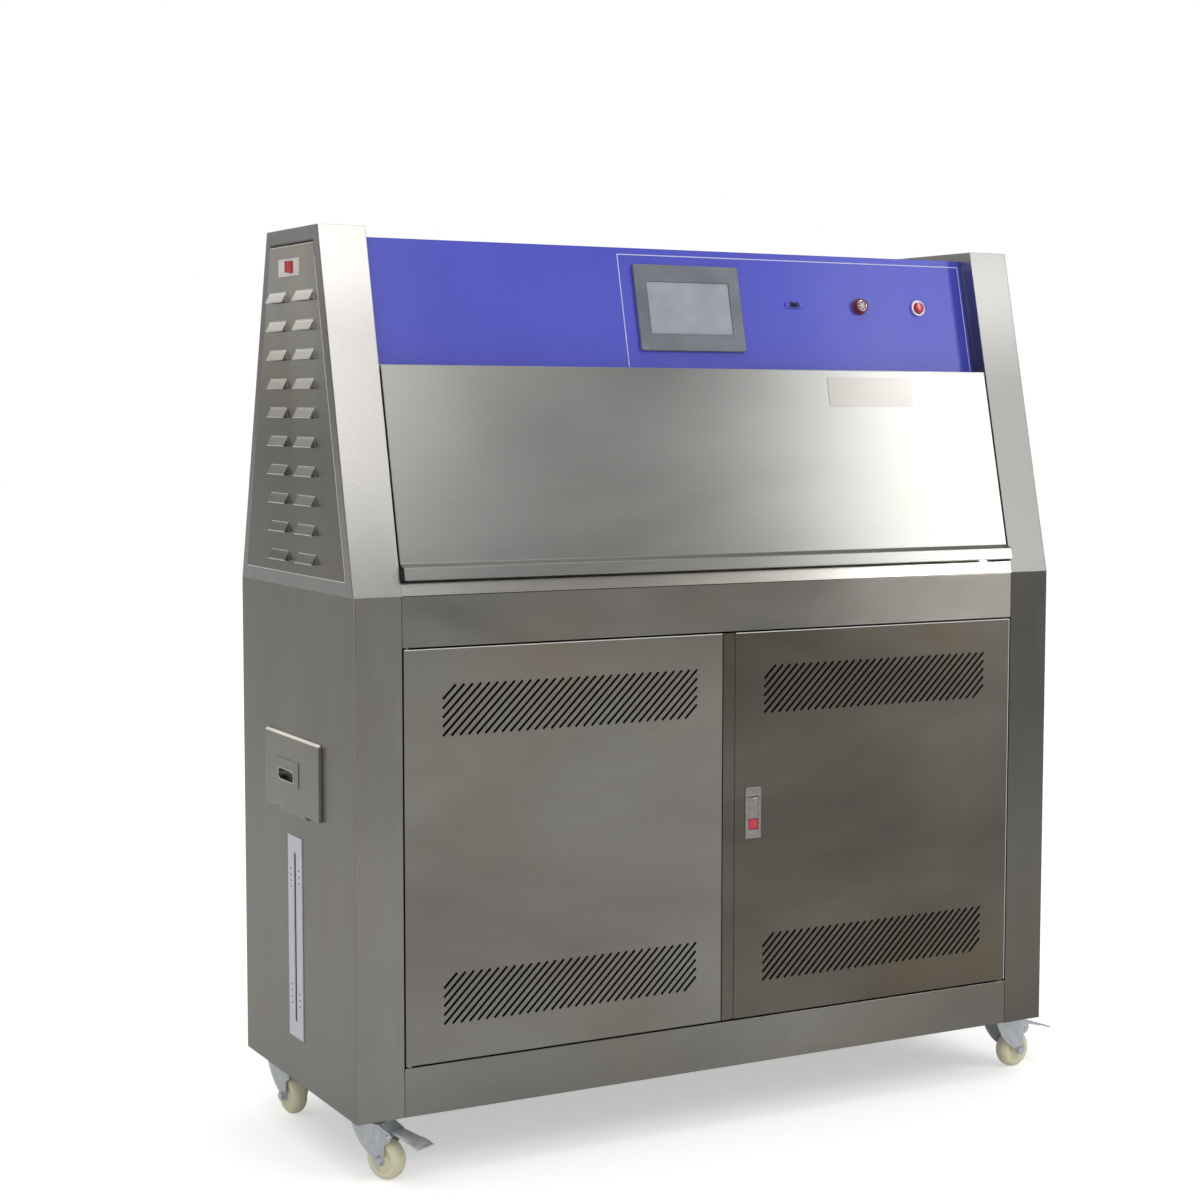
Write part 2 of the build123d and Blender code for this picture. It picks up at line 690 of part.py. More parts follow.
def louvre_points(hollow):
    """Outline of a hood, or of the void inside it."""
    half_rise = louvre_rise / 2
    slant = hypot(louvre_reach, louvre_rise)
    run = louvre_wall * slant / louvre_rise
    drop = louvre_wall * slant / louvre_reach
    if hollow:
        return [(-2 * casing_sheet, half_rise - drop), (0, half_rise - drop),
                (louvre_reach - run, -half_rise), (louvre_reach - run, -2 * half_rise),
                (touch_gap, -2 * half_rise), (touch_gap, -half_rise),
                (-2 * casing_sheet, -half_rise)]
    return [(-casing_sheet / 2, half_rise), (0, half_rise), (louvre_reach, -half_rise),
            (-casing_sheet / 2, -half_rise)]


def build_louvre_panel(side, with_breaker):
    places = [louvre_plane(side, column * louvre_column_spacing / 2, louvre_first_z - row * louvre_row_pitch)
              for column in (-1, 1) for row in range(louvre_rows)]
    with BuildPart() as panel:
        with BuildSketch(Plane.YZ.offset(side * (half_width - casing_sheet))):
            Polygon(*head_points(louvre_panel_inset, louvre_panel_inset + louvre_top_slot))
        extrude(amount=side * casing_sheet)
        with BuildSketch(*places):
            Polygon(*louvre_points(False))
        extrude(amount=louvre_width / 2, both=True)
        with BuildSketch(*places):
            Polygon(*louvre_points(True))
        extrude(amount=louvre_width / 2 - louvre_wall, both=True, mode=Mode.SUBTRACT)
        if with_breaker:
            with BuildSketch(side_face(side)):
                with Locations((side * breaker_y, breaker_z)):
                    Rectangle(breaker_frame_width - 2 * breaker_hole_margin,
                              breaker_frame_height - 2 * breaker_hole_margin)
            extrude(amount=-2 * casing_sheet, mode=Mode.SUBTRACT)
    return panel


save(build_louvre_panel(-1, True), "louvre_panel_left")
save(build_louvre_panel(1, False), "louvre_panel_right")

# Mains breaker lying on its side behind the left louvre panel, with a frame and a toggle
breaker_frame_sheet = 1.6
breaker_face_proud = 3.0
breaker_depth = 44.0
toggle_radius = 9.0
toggle_width = 18.0
toggle_reach = 8.5
toggle_thickness = 9.0
toggle_y = -8.8
toggle_clearance = 0.4
toggle_rest = -24.0
toggle_travel = 48.0
breaker_half_y = breaker_frame_width / 2 - breaker_hole_margin - touch_gap
breaker_half_z = breaker_frame_height / 2 - breaker_hole_margin - touch_gap
toggle_x = -half_width - breaker_face_proud + toggle_radius - 1.0
with BuildPart() as breaker_body:
    with BuildSketch(side_face(-1)):
        with Locations((-breaker_y, breaker_z)):
            RectangleRounded(breaker_frame_width, breaker_frame_height, breaker_frame_sheet)
    extrude(amount=breaker_frame_sheet)
    corner(-half_width - breaker_face_proud, breaker_y - breaker_half_y, breaker_z - breaker_half_z,
           breaker_face_proud + breaker_depth, 2 * breaker_half_y, 2 * breaker_half_z)
    slot_half = toggle_width / 2 + toggle_clearance
    with BuildSketch(Plane.XY.offset(breaker_z - slot_half)):
        with Locations((toggle_x, toggle_y)):
            Circle(toggle_radius + toggle_clearance)
            Rectangle(2 * toggle_radius + 2 * toggle_clearance, 2 * (toggle_radius + toggle_clearance),
                      align=(Align.MAX, Align.CENTER))
    extrude(amount=2 * slot_half, mode=Mode.SUBTRACT)
save(breaker_body, "breaker_body")

with BuildPart() as breaker_toggle:
    with BuildSketch(Plane.XY.offset(breaker_z - toggle_width / 2)):
        with Locations(Location((toggle_x, toggle_y), toggle_rest)):
            Circle(toggle_radius)
            Rectangle(toggle_radius + toggle_reach, toggle_thickness, align=(Align.MAX, Align.CENTER))
    extrude(amount=toggle_width)
    fillet(breaker_toggle.edges().filter_by(Axis.Z).group_by(Axis.X)[0], toggle_thickness * 0.2)
save(breaker_toggle, "breaker_toggle")

# Chamber frames: a flat ring behind each door that joins the sill to the panel above
bay_width = 2 * bay_half
ring_back = lid_depth + seal_clearance + seal_thickness
ring_low = sill_height - frame_sheet
mouth_low = lid_bottom + 12.0
mouth_high = lid_top - 12.0
mouth_half = bay_half - frame_border


def build_frame(slope):
    centre_along = (ring_low + panel_bottom) / 2
    with BuildPart() as frame:
        with BuildSketch(slope.offset(-ring_back)):
            with Locations((0, centre_along)):
                Rectangle(bay_width, panel_bottom - ring_low)
            with Locations((0, (mouth_low + mouth_high) / 2)):
                RectangleRounded(2 * mouth_half, mouth_high - mouth_low, frame_border / 2,
                                 mode=Mode.SUBTRACT)
        extrude(amount=-frame_sheet)
        with BuildSketch(section_plane(slope, 0)):
            with BuildLine():
                Polyline((-4 * frame_sheet, 0), (sill_height, 0),
                         (sill_height, -ring_back - frame_sheet),
                         (ring_low, -ring_back - frame_sheet), (ring_low, -frame_sheet),
                         (-4 * frame_sheet, -frame_sheet), close=True)
            make_face()
        extrude(amount=bay_half, both=True)
        corner(-bay_half, 2 * front_y, deck_z - head_height, bay_width, 2 * cabinet_depth, head_height,
               Mode.SUBTRACT)
    return frame


with BuildPart() as chamber_frames:
    add(build_frame(front_slope).part)
    add(build_frame(rear_slope).part)
save(chamber_frames, "chamber_frames")


def build_seal(slope):
    with BuildPart() as seal:
        with BuildSketch(slope.offset(-ring_back)):
            with Locations((0, (mouth_low + mouth_high) / 2)):
                RectangleRounded(2 * mouth_half + 2 * seal_width, mouth_high - mouth_low + seal_width,
                                 seal_width)
                RectangleRounded(2 * mouth_half, mouth_high - mouth_low, frame_border / 2,
                                 mode=Mode.SUBTRACT)
        extrude(amount=seal_thickness)
    return seal


with BuildPart() as door_seals:
    add(build_seal(front_slope).part)
    add(build_seal(rear_slope).part)
save(door_seals, "door_seals")

# Sloped doors: a folded box section with a pull lip along the bottom, capped at both ends,
# turning on pins that enter the towers
lid_half = bay_half - shut_gap


def lid_points(inner):
    """Section of a door along and off the slope, or of the void inside it."""
    if inner:
        return [(lid_bottom + lid_sheet, -lid_sheet), (lid_top - lid_sheet, -lid_sheet),
                (lid_top - lid_sheet, -lid_depth + lid_sheet),
                (lid_bottom + lid_sheet, -lid_depth + lid_sheet)]
    return [(lid_top, 0), (lid_bottom + lid_sheet, 0), (lip_fold, lip_reach),
            (lip_bottom, lip_reach), (lip_bottom, lip_reach - lip_hem),
            (lip_bottom + lid_sheet, lip_reach - lip_hem),
            (lip_bottom + lid_sheet, lip_reach - lid_sheet),
            (lip_fold - lid_sheet, lip_reach - lid_sheet), (lid_bottom, -lid_sheet),
            (lid_bottom, -lid_depth), (lid_top, -lid_depth)]


def build_lid(slope):
    with BuildPart() as lid:
        with BuildSketch(section_plane(slope, 0)):
            Polygon(*lid_points(False))
        extrude(amount=lid_half, both=True)
        with BuildSketch(section_plane(slope, 0)):
            Polygon(*lid_points(True))
        extrude(amount=lid_half - lid_sheet, both=True, mode=Mode.SUBTRACT)
        for side in (-1, 1):
            with BuildSketch(section_plane(slope, side * (lid_half - lid_sheet))):
                with Locations((lid_top - lid_pivot_drop, -lid_pivot_depth)):
                    Circle(lid_pivot_radius)
            reach = lid_sheet + shut_gap + casing_sheet
            turn = 1 if section_plane(slope, 0).z_dir.X * side > 0 else -1
            extrude(amount=turn * reach)
    return lid


save(build_lid(front_slope), "front_door")
save(build_lid(rear_slope), "rear_door")

# Control panel, recessed between the towers, with cut-outs for its fittings
panel_face = front_slope.offset(-panel_recess)
control_along = (panel_bottom + panel_top) / 2 + 12.0
display_along = (panel_bottom + panel_top) / 2
display_body_margin = 5.0
panel_sheet = 2.0
usb_flange_length = 36.0
usb_flange_height = 12.0
usb_body_width = 16.0
usb_body_height = 9.0
fitting_clearance = 0.3
with BuildPart() as control_panel:
    with BuildSketch(panel_face):
        with Locations((0, (panel_bottom + panel_top) / 2)):
            Rectangle(bay_width, panel_top - panel_bottom)
        with Locations((display_x, display_along)):
            Rectangle(display_width - 2 * display_body_margin + 2 * fitting_clearance,
                      display_height - 2 * display_body_margin + 2 * fitting_clearance,
                      mode=Mode.SUBTRACT)
        with Locations((usb_x, control_along)):
            Rectangle(usb_body_width + 2 * fitting_clearance, usb_body_height + 2 * fitting_clearance,
                      mode=Mode.SUBTRACT)
        with Locations((buzzer_x, control_along), (power_x, control_along)):
            Circle(barrel_diameter / 2 + fitting_clearance, mode=Mode.SUBTRACT)
    extrude(amount=-panel_sheet)
save(control_panel, "control_panel")

# Touch display: bezel with a rear housing, and the screen seated in its pocket
display_corner = 4.0
display_body_depth = 32.0
screen_pocket = 3.0
screen_sheet = 1.8
with BuildPart() as display_bezel:
    with BuildSketch(panel_face):
        with Locations((display_x, display_along)):
            RectangleRounded(display_width, display_height, display_corner)
    extrude(amount=display_proud)
    chamfer(display_bezel.faces().sort_by(Axis.Y)[0].edges(), display_corner * 0.3)
    with BuildSketch(panel_face):
        with Locations((display_x, display_along)):
            Rectangle(display_width - 2 * display_body_margin, display_height - 2 * display_body_margin)
    extrude(amount=-display_body_depth)
    with BuildSketch(panel_face.offset(display_proud)):
        with Locations((display_x, display_along)):
            Rectangle(screen_width, screen_height)
    extrude(amount=-screen_pocket, mode=Mode.SUBTRACT)
save(display_bezel, "display_bezel")

with BuildPart() as display_screen:
    with BuildSketch(panel_face.offset(display_proud - screen_pocket)):
        with Locations((display_x, display_along)):
            Rectangle(screen_width - 2 * fitting_clearance, screen_height - 2 * fitting_clearance)
    extrude(amount=screen_sheet)
save(display_screen, "display_screen")

# Panel socket for a memory stick: flange with two screws and a shrouded slot
usb_flange_sheet = 2.0
usb_screw_spacing = 26.0
usb_screw_radius = 2.6
usb_mouth_width = 12.5
usb_mouth_height = 5.0
usb_body_depth = 20.0
with BuildPart() as usb_socket:
    with BuildSketch(panel_face):
        with Locations((usb_x, control_along)):
            SlotOverall(usb_flange_length, usb_flange_height)
    extrude(amount=usb_flange_sheet)
    with BuildSketch(panel_face.offset(usb_flange_sheet)):
        with Locations((usb_x, control_along)):
            with GridLocations(usb_screw_spacing, 1, 2, 1):
                Circle(usb_screw_radius)
    extrude(amount=usb_flange_sheet * 0.6)
    with BuildSketch(panel_face):
        with Locations((usb_x, control_along)):
            Rectangle(usb_body_width, usb_body_height)
    extrude(amount=-usb_body_depth)
    with BuildSketch(panel_face.offset(usb_flange_sheet)):
        with Locations((usb_x, control_along)):
            Rectangle(usb_mouth_width, usb_mouth_height)
    extrude(amount=-usb_body_depth * 0.8, mode=Mode.SUBTRACT)
save(usb_socket, "usb_socket")


def fitting_axis(x):
    """Plane whose local Y is the outward axis of a round panel fitting."""
    origin = panel_face.origin + panel_face.y_dir * control_along + Vector(x, 0, 0)
    return Plane(origin=origin, x_dir=(1, 0, 0), z_dir=Vector(1, 0, 0).cross(panel_face.z_dir))


# Buzzer: stepped cap with a ring-shaped sound outlet, over its barrel
buzzer_proud = 12.0
buzzer_flange = 4.0
barrel_length = 28.0
nut_radius = 14.5
with BuildPart() as buzzer:
    with BuildSketch(fitting_axis(buzzer_x)):
        with BuildLine():
            Polyline((0, -barrel_length), (barrel_diameter / 2, -barrel_length),
                     (barrel_diameter / 2, 0), (control_bezel_diameter / 2, 0),
                     (control_bezel_diameter / 2, buzzer_flange),
                     (control_bezel_diameter / 2 - 1.5, buzzer_proud - 2.0),
                     (control_bezel_diameter / 2 - 3.5, buzzer_proud),
                     (0, buzzer_proud), close=True)
        make_face()
    revolve(axis=Axis(fitting_axis(buzzer_x).origin, panel_face.z_dir))
    with BuildSketch(panel_face.offset(buzzer_proud)):
        with Locations((buzzer_x, control_along)):
            Circle(control_bezel_diameter / 2 - 5.0)
            Circle(control_bezel_diameter / 2 - 7.5, mode=Mode.SUBTRACT)
    extrude(amount=-2.0, mode=Mode.SUBTRACT)
save(buzzer, "buzzer")

# Power button: turned bezel with its barrel and nut, and the cap that travels in it
bezel_proud = 5.0
cap_radius = 11.2
cap_proud = 3.4
cap_stem_radius = 6.0
cap_skirt = 7.0
button_wall = 1.4
with BuildPart() as power_bezel:
    with BuildSketch(fitting_axis(power_x)):
        with BuildLine():
            inner = cap_radius + fitting_clearance
            Polyline((cap_stem_radius + fitting_clearance, -barrel_length),
                     (barrel_diameter / 2, -barrel_length), (barrel_diameter / 2, 0),
                     (control_bezel_diameter / 2, 0),
                     (control_bezel_diameter / 2, bezel_proud - 1.5),
                     (control_bezel_diameter / 2 - 1.5, bezel_proud), (inner, bezel_proud),
                     (inner, 0.6), (cap_stem_radius + fitting_clearance, 0.6), close=True)
        make_face()
    revolve(axis=Axis(fitting_axis(power_x).origin, panel_face.z_dir))
save(power_bezel, "power_bezel")

with BuildPart() as power_cap:
    with BuildSketch(fitting_axis(power_x)):
        cap_low = power_travel + 0.6 + fitting_clearance
        with BuildLine():
            Polyline((0, -barrel_length + power_travel), (cap_stem_radius, -barrel_length + power_travel),
                     (cap_stem_radius, cap_low), (cap_radius, cap_low),
                     (cap_radius, bezel_proud + cap_proud - 1.2),
                     (cap_radius - 1.2, bezel_proud + cap_proud), (0, bezel_proud + cap_proud),
                     close=True)
        make_face()
    revolve(axis=Axis(fitting_axis(power_x).origin, panel_face.z_dir))
save(power_cap, "power_cap")

# Top cover, folded down over the rear of the control bay, and its two tie brackets
front_lip = on_slope(front_slope, panel_top, -panel_recess)
rear_lip = on_slope(rear_slope, panel_top, -panel_recess)
rear_foot = on_slope(rear_slope, panel_bottom, -panel_recess)
bracket_x = 452.0
bracket_width = 60.0
bracket_height = 9.0
bracket_depth = 26.0
cover_z = max(front_lip.Z, rear_lip.Z)
with BuildPart() as top_cover:
    cover_slack = rear_slope_length / head_height * panel_sheet
    cover_front = front_lip.Y + front_slope_length / head_height * panel_sheet + touch_gap
    with BuildSketch(Plane.YZ):
        with BuildLine():
            Polyline((cover_front, cover_z), (rear_lip.Y, cover_z),
                     (rear_foot.Y, rear_foot.Z), (rear_foot.Y - cover_slack, rear_foot.Z),
                     (rear_lip.Y - cover_slack, cover_z - panel_sheet),
                     (cover_front, cover_z - panel_sheet), close=True)
        make_face()
    extrude(amount=bay_half, both=True)
save(top_cover, "top_cover")

with BuildPart() as top_brackets:
    for side in (-1, 1):
        corner(side * bracket_x - bracket_width / 2, rear_lip.Y - bracket_depth, cover_z,
               bracket_width, bracket_depth, casing_sheet)
        corner(side * bracket_x - bracket_width / 2, rear_lip.Y - casing_sheet, cover_z,
               bracket_width, casing_sheet, bracket_height)
        corner(side * bracket_x - bracket_width / 2, rear_lip.Y - bracket_depth, cover_z,
               casing_sheet, bracket_depth, bracket_height)
save(top_brackets, "top_brackets")

# Chamber ceiling: a tray below the control bay that holds the insulation
ceiling_thickness = 22.0
ceiling_front = on_slope(front_slope, panel_bottom, -ring_back - frame_sheet)
ceiling_rear = on_slope(rear_slope, panel_bottom, -ring_back - frame_sheet)
ceiling_top_z = min(ceiling_front.Z, ceiling_rear.Z)
with BuildPart() as chamber_ceiling:
    corner(-bay_half, ceiling_front.Y + touch_gap, ceiling_top_z - ceiling_thickness, bay_width,
           ceiling_rear.Y - ceiling_front.Y - 2 * touch_gap, ceiling_thickness)
    corner(-bay_half + lid_sheet, ceiling_front.Y + touch_gap + lid_sheet,
           ceiling_top_z - ceiling_thickness + lid_sheet, bay_width - 2 * lid_sheet,
           ceiling_rear.Y - ceiling_front.Y - 2 * touch_gap - 2 * lid_sheet, ceiling_thickness,
           Mode.SUBTRACT)
save(chamber_ceiling, "chamber_ceiling")

# Heated water pan on the deck, with its heater loop
pan_end_clearance = 12.0
pan_half_length = bay_half - pan_end_clearance
pan_margin = 12.0
pan_height = 46.0
pan_wall = 1.5
pan_front_y = on_slope(front_slope, pan_height, -ring_back - frame_sheet).Y + pan_margin
pan_rear_y = on_slope(rear_slope, pan_height, -ring_back - frame_sheet).Y - pan_margin
heater_radius = 5.0
heater_span = 240.0
heater_end_margin = 80.0
heater_half_length = pan_half_length - heater_end_margin
heater_bend = 30.0
heater_z = deck_z + pan_wall + heater_radius + touch_gap
with BuildPart() as water_pan:
    corner(-pan_half_length, pan_front_y, deck_z, 2 * pan_half_length, pan_rear_y - pan_front_y,
           pan_height)
    corner(-pan_half_length + pan_wall, pan_front_y + pan_wall, deck_z + pan_wall,
           2 * (pan_half_length - pan_wall), pan_rear_y - pan_front_y - 2 * pan_wall, pan_height,
           Mode.SUBTRACT)
save(water_pan, "water_pan")

with BuildPart() as pan_heater:
    with BuildLine() as heater_line:
        FilletPolyline((heater_half_length, -heater_span / 2, heater_z),
                       (-heater_half_length, -heater_span / 2, heater_z),
                       (-heater_half_length, heater_span / 2, heater_z),
                       (heater_half_length, heater_span / 2, heater_z), radius=heater_bend)
    with BuildSketch(Plane(origin=heater_line.line @ 0, z_dir=heater_line.line % 0)):
        Circle(heater_radius)
    sweep(path=heater_line.line)
save(pan_heater, "pan_heater")

# Rails across the bay and the specimen holders that stand between them
rail_ledge = 12.0
rail_sheet = 2.0
holder_low = (mouth_low + mouth_high - holder_length) / 2
holder_window_width = 60.0
holder_window_height = 118.0
holder_pitch = (bay_width - 2 * frame_border) / holder_count


def build_rails(slope):
    with BuildPart() as rails:
        for along, turn in ((holder_low, -1), (holder_low + holder_length, 1)):
            with BuildSketch(section_plane(slope, 0)):
                edge = along + turn * touch_gap
                with BuildLine():
                    Polyline((edge, -holder_depth + rail_ledge / 2),
                             (edge + turn * rail_sheet, -holder_depth + rail_ledge / 2),
                             (edge + turn * rail_sheet, -holder_depth - holder_sheet - rail_ledge / 2),
                             (edge - turn * rail_ledge, -holder_depth - holder_sheet - rail_ledge / 2),
                             (edge - turn * rail_ledge,
                              -holder_depth - holder_sheet - rail_ledge / 2 + rail_sheet),
                             (edge, -holder_depth - holder_sheet - rail_ledge / 2 + rail_sheet),
                             close=True)
                make_face()
            extrude(amount=bay_half, both=True)
    return rails


with BuildPart() as holder_rails:
    add(build_rails(front_slope).part)
    add(build_rails(rear_slope).part)
save(holder_rails, "holder_rails")


def build_holders(slope):
    with BuildPart() as holders:
        with BuildSketch(slope.offset(-holder_depth)):
            with Locations((0, holder_low + holder_length / 2)):
                with GridLocations(holder_pitch, 1, holder_count, 1):
                    Rectangle(holder_width, holder_length)
        extrude(amount=-holder_sheet)
        with BuildSketch(slope.offset(-holder_depth - holder_sheet)):
            with Locations((0, holder_low + holder_length / 2)):
                with GridLocations(holder_pitch, holder_window_height + rail_ledge, holder_count, 2):
                    Rectangle(holder_window_width, holder_window_height)
        extrude(amount=holder_sheet / 2, mode=Mode.SUBTRACT)
    return holders


with BuildPart() as specimen_holders:
    add(build_holders(front_slope).part)
    add(build_holders(rear_slope).part)
save(specimen_holders, "specimen_holders")

# Ultraviolet tubes through the tower walls, and the sockets on brackets inside the towers
lamp_cap_length = 22.0
socket_half = 16.0
socket_depth = 10.0
socket_bracket_sheet = 1.5
with BuildPart() as uv_lamps:
    with BuildSketch(Plane.YZ):
        with Locations(*lamp_centres()):
            Circle(lamp_radius)
    extrude(amount=lamp_length / 2, both=True)
    with BuildSketch(Plane.YZ):
        with Locations(*lamp_centres()):
            Circle(lamp_radius - lamp_glass)
    extrude(amount=lamp_length / 2 - lamp_cap_length, both=True, mode=Mode.SUBTRACT)
save(uv_lamps, "uv_lamps")

bracket_low = lamp_first - lamp_pitch / 2
bracket_high = lamp_first + (lamp_count - 0.5) * lamp_pitch
bracket_off = lamp_length / 2 + touch_gap + socket_depth
with BuildPart() as lamp_sockets:
    for slope in (front_slope, rear_slope):
        upright = slope.x_dir.X
        for side in (-1, 1):
            strip = Plane(origin=Vector(side * bracket_off, 0, 0) + slope.origin, x_dir=slope.y_dir,
                          z_dir=(side, 0, 0))
            outwards = 1 if strip.y_dir.dot(slope.z_dir) > 0 else -1
            centre_off = -outwards * lamp_depth
            with BuildSketch(strip):
                with Locations(((bracket_low + bracket_high) / 2, centre_off)):
                    Rectangle(bracket_high - bracket_low, 2 * socket_half)
            extrude(amount=socket_bracket_sheet)
            with BuildSketch(strip):
                for along in (bracket_low, bracket_high):
                    turn = 1 if along > bracket_low else -1
                    with Locations((along - turn * socket_bracket_sheet / 2, centre_off)):
                        Rectangle(socket_bracket_sheet, 2 * socket_half)
            extrude(amount=-(bracket_off - bay_half - casing_sheet))
            with BuildSketch(strip):
                for index in range(lamp_count):
                    with Locations((lamp_first + index * lamp_pitch, centre_off)):
                        Rectangle(2 * socket_half, 2 * socket_half)
            extrude(amount=-socket_depth)
save(lamp_sockets, "lamp_sockets")

# Water pump on the base tray: motor, volute and foot
pump_x = -300.0
pump_y = 60.0
pump_motor_radius = 42.0
pump_motor_length = 120.0
pump_volute_radius = 55.0
pump_volute_width = 45.0
pump_foot = 14.0
pump_port_radius = 11.0
pump_port_height = 60.0
pump_axis_z = base_z + casing_sheet + pump_foot * 0.7 + pump_volute_radius
with BuildPart() as pump:
    with BuildSketch(Plane.YZ.offset(pump_x)):
        with Locations((pump_y, pump_axis_z)):
            Circle(pump_motor_radius)
    extrude(amount=pump_motor_length)
    with BuildSketch(Plane.YZ.offset(pump_x - pump_volute_width)):
        with Locations((pump_y, pump_axis_z)):
            Circle(pump_volute_radius)
    extrude(amount=pump_volute_width)
    corner(pump_x - pump_volute_width, pump_y - pump_motor_radius, base_z + casing_sheet,
           pump_volute_width + pump_motor_length, 2 * pump_motor_radius, pump_foot)
    corner(pump_x, pump_y - pump_motor_radius / 2, base_z + casing_sheet, pump_motor_length,
           pump_motor_radius, pump_axis_z - base_z - casing_sheet)
    with BuildSketch(Plane.XY.offset(pump_axis_z)):
        with Locations((pump_x - pump_volute_width / 2, pump_y)):
            Circle(pump_port_radius)
    extrude(amount=pump_volute_radius + pump_port_height)
save(pump, "pump")

# Circulation blower hung under the deck: scroll housing with inlet, outlet and motor
blower_x = -60.0
blower_y = 60.0
blower_radius = 85.0
blower_width = 80.0
blower_neck = 60.0
blower_motor_radius = 45.0
blower_motor_length = 75.0
blower_wall = 2.0
blower_axis_z = deck_z - casing_sheet - blower_neck - blower_radius
with BuildPart() as blower:
    with BuildSketch(Plane.YZ.offset(blower_x)):
        with Locations((blower_y, blower_axis_z)):
            Circle(blower_radius)
        with Locations((blower_y, blower_axis_z)):
            Rectangle(blower_radius, blower_radius + blower_neck, align=(Align.MIN, Align.MIN))
    extrude(amount=blower_width)
    with BuildSketch(Plane.YZ.offset(blower_x + blower_wall)):
        with Locations((blower_y, blower_axis_z)):
            Circle(blower_radius - blower_wall)
    extrude(amount=blower_width - 2 * blower_wall, mode=Mode.SUBTRACT)
    with BuildSketch(Plane.YZ.offset(blower_x)):
        with Locations((blower_y, blower_axis_z)):
            Circle(blower_motor_radius)
    extrude(amount=blower_wall, mode=Mode.SUBTRACT)
    with BuildSketch(Plane.YZ.offset(blower_x + blower_width)):
        with Locations((blower_y, blower_axis_z)):
            Circle(blower_motor_radius)
    extrude(amount=blower_motor_length)
save(blower, "blower")

# Electrical back plate on standoffs, with ballasts, contactors and a terminal row
plate_low_x = 150.0
plate_length = 380.0
plate_low_z = 260.0
plate_height = 300.0
standoff_length = 20.0
standoff_radius = 6.0
plate_y = tray_rear_y - standoff_length
ballast_length = 150.0
ballast_width = 40.0
ballast_depth = 32.0
contactor_width = 45.0
contactor_count = 6
with BuildPart() as electrical_plate:
    corner(plate_low_x, plate_y - casing_sheet, plate_low_z, plate_length, casing_sheet, plate_height)
    with BuildSketch(Plane.XZ.offset(-plate_y)):
        with Locations((plate_low_x + plate_length / 2, plate_low_z + plate_height / 2)):
            with GridLocations(plate_length - 4 * standoff_radius, plate_height - 4 * standoff_radius, 2, 2):
                Circle(standoff_radius)
    extrude(amount=-standoff_length)
    with BuildSketch(Plane.XZ.offset(-plate_y + casing_sheet)):
        with Locations((plate_low_x + plate_length / 2, plate_low_z + plate_height * 0.72)):
            with GridLocations(ballast_length + 20.0, ballast_width * 0.9, 2, 4):
                Rectangle(ballast_length, ballast_width * 0.8)
    extrude(amount=ballast_depth)
    with BuildSketch(Plane.XZ.offset(-plate_y + casing_sheet)):
        with Locations((plate_low_x + plate_length / 2, plate_low_z + plate_height * 0.22)):
            with GridLocations(contactor_width * 1.25, 1, contactor_count, 1):
                Rectangle(contactor_width, contactor_width * 1.6)
    extrude(amount=ballast_depth * 1.8)
save(electrical_plate, "electrical_plate")

# Rear ports: water inlet, drain and mains gland, each a flanged fitting through the rear panel
port_flange_radius = 19.0
port_flange = 4.0
spout_radius = 8.0
spout_bore = 5.5
spout_length = 34.0
gland_radius = 11.0
gland_bore = 6.5
gland_length = 24.0
port_tail = 16.0


def port_fitting(x, radius, bore, length):
    """Hollow fitting that stands out of the rear panel."""
    with BuildPart(mode=Mode.PRIVATE) as fitting:
        with BuildSketch(rear_face.offset(-casing_sheet)):
            with Locations((-x, port_z)):
                Circle(port_flange_radius)
        extrude(amount=port_flange)
        with BuildSketch(rear_face.offset(-casing_sheet)):
            with Locations((-x, port_z)):
                Circle(radius)
        extrude(amount=length)
        with BuildSketch(rear_face.offset(-casing_sheet)):
            with Locations((-x, port_z)):
                Circle(port_hole_radius - touch_gap)
        extrude(amount=-port_tail)
        with BuildSketch(rear_face.offset(-casing_sheet + length)):
            with Locations((-x, port_z)):
                Circle(bore)
        extrude(amount=-length - port_tail, mode=Mode.SUBTRACT)
    return fitting.part


with BuildPart() as rear_ports:
    add(port_fitting(inlet_x, spout_radius, spout_bore, spout_length))
    add(port_fitting(drain_x, spout_radius, spout_bore, spout_length))
    add(port_fitting(gland_x, gland_radius, gland_bore, gland_length))
save(rear_ports, "rear_ports")

# Casters, drawn once about the swivel axis with the wheel trailing towards local +X
caster_plate_length = 74.0
caster_plate_width = 66.0
caster_plate_sheet = 2.5
bolt_head_radius = 6.5
bolt_head = 4.0
race_radius = 24.0
race_height = 8.0
fork_sheet = 2.5
fork_web = 3.0
fork_gap = 1.5
wheel_radius = wheel_diameter / 2
fork_top_z = floor_clearance - caster_plate_sheet - race_height - touch_gap
fork_inner = wheel_width / 2 + fork_gap
pin_head_radius = 8.0
pin_head = 3.0
pedal_pivot_x = 46.0
pedal_pivot_z = 72.0
pedal_pin_radius = 2.5
pedal_width = 26.0
pedal_tip_width = 40.0
pedal_sheet = 2.5
pedal_pad_top = 22.0
pedal_pad = 24.0
pedal_pad_rise = 9.0
pedal_tip_z = 62.0
pedal_travel = 12.0
hub_radius = 13.0
hub_recess = 3.0
tread_chamfer = 3.0

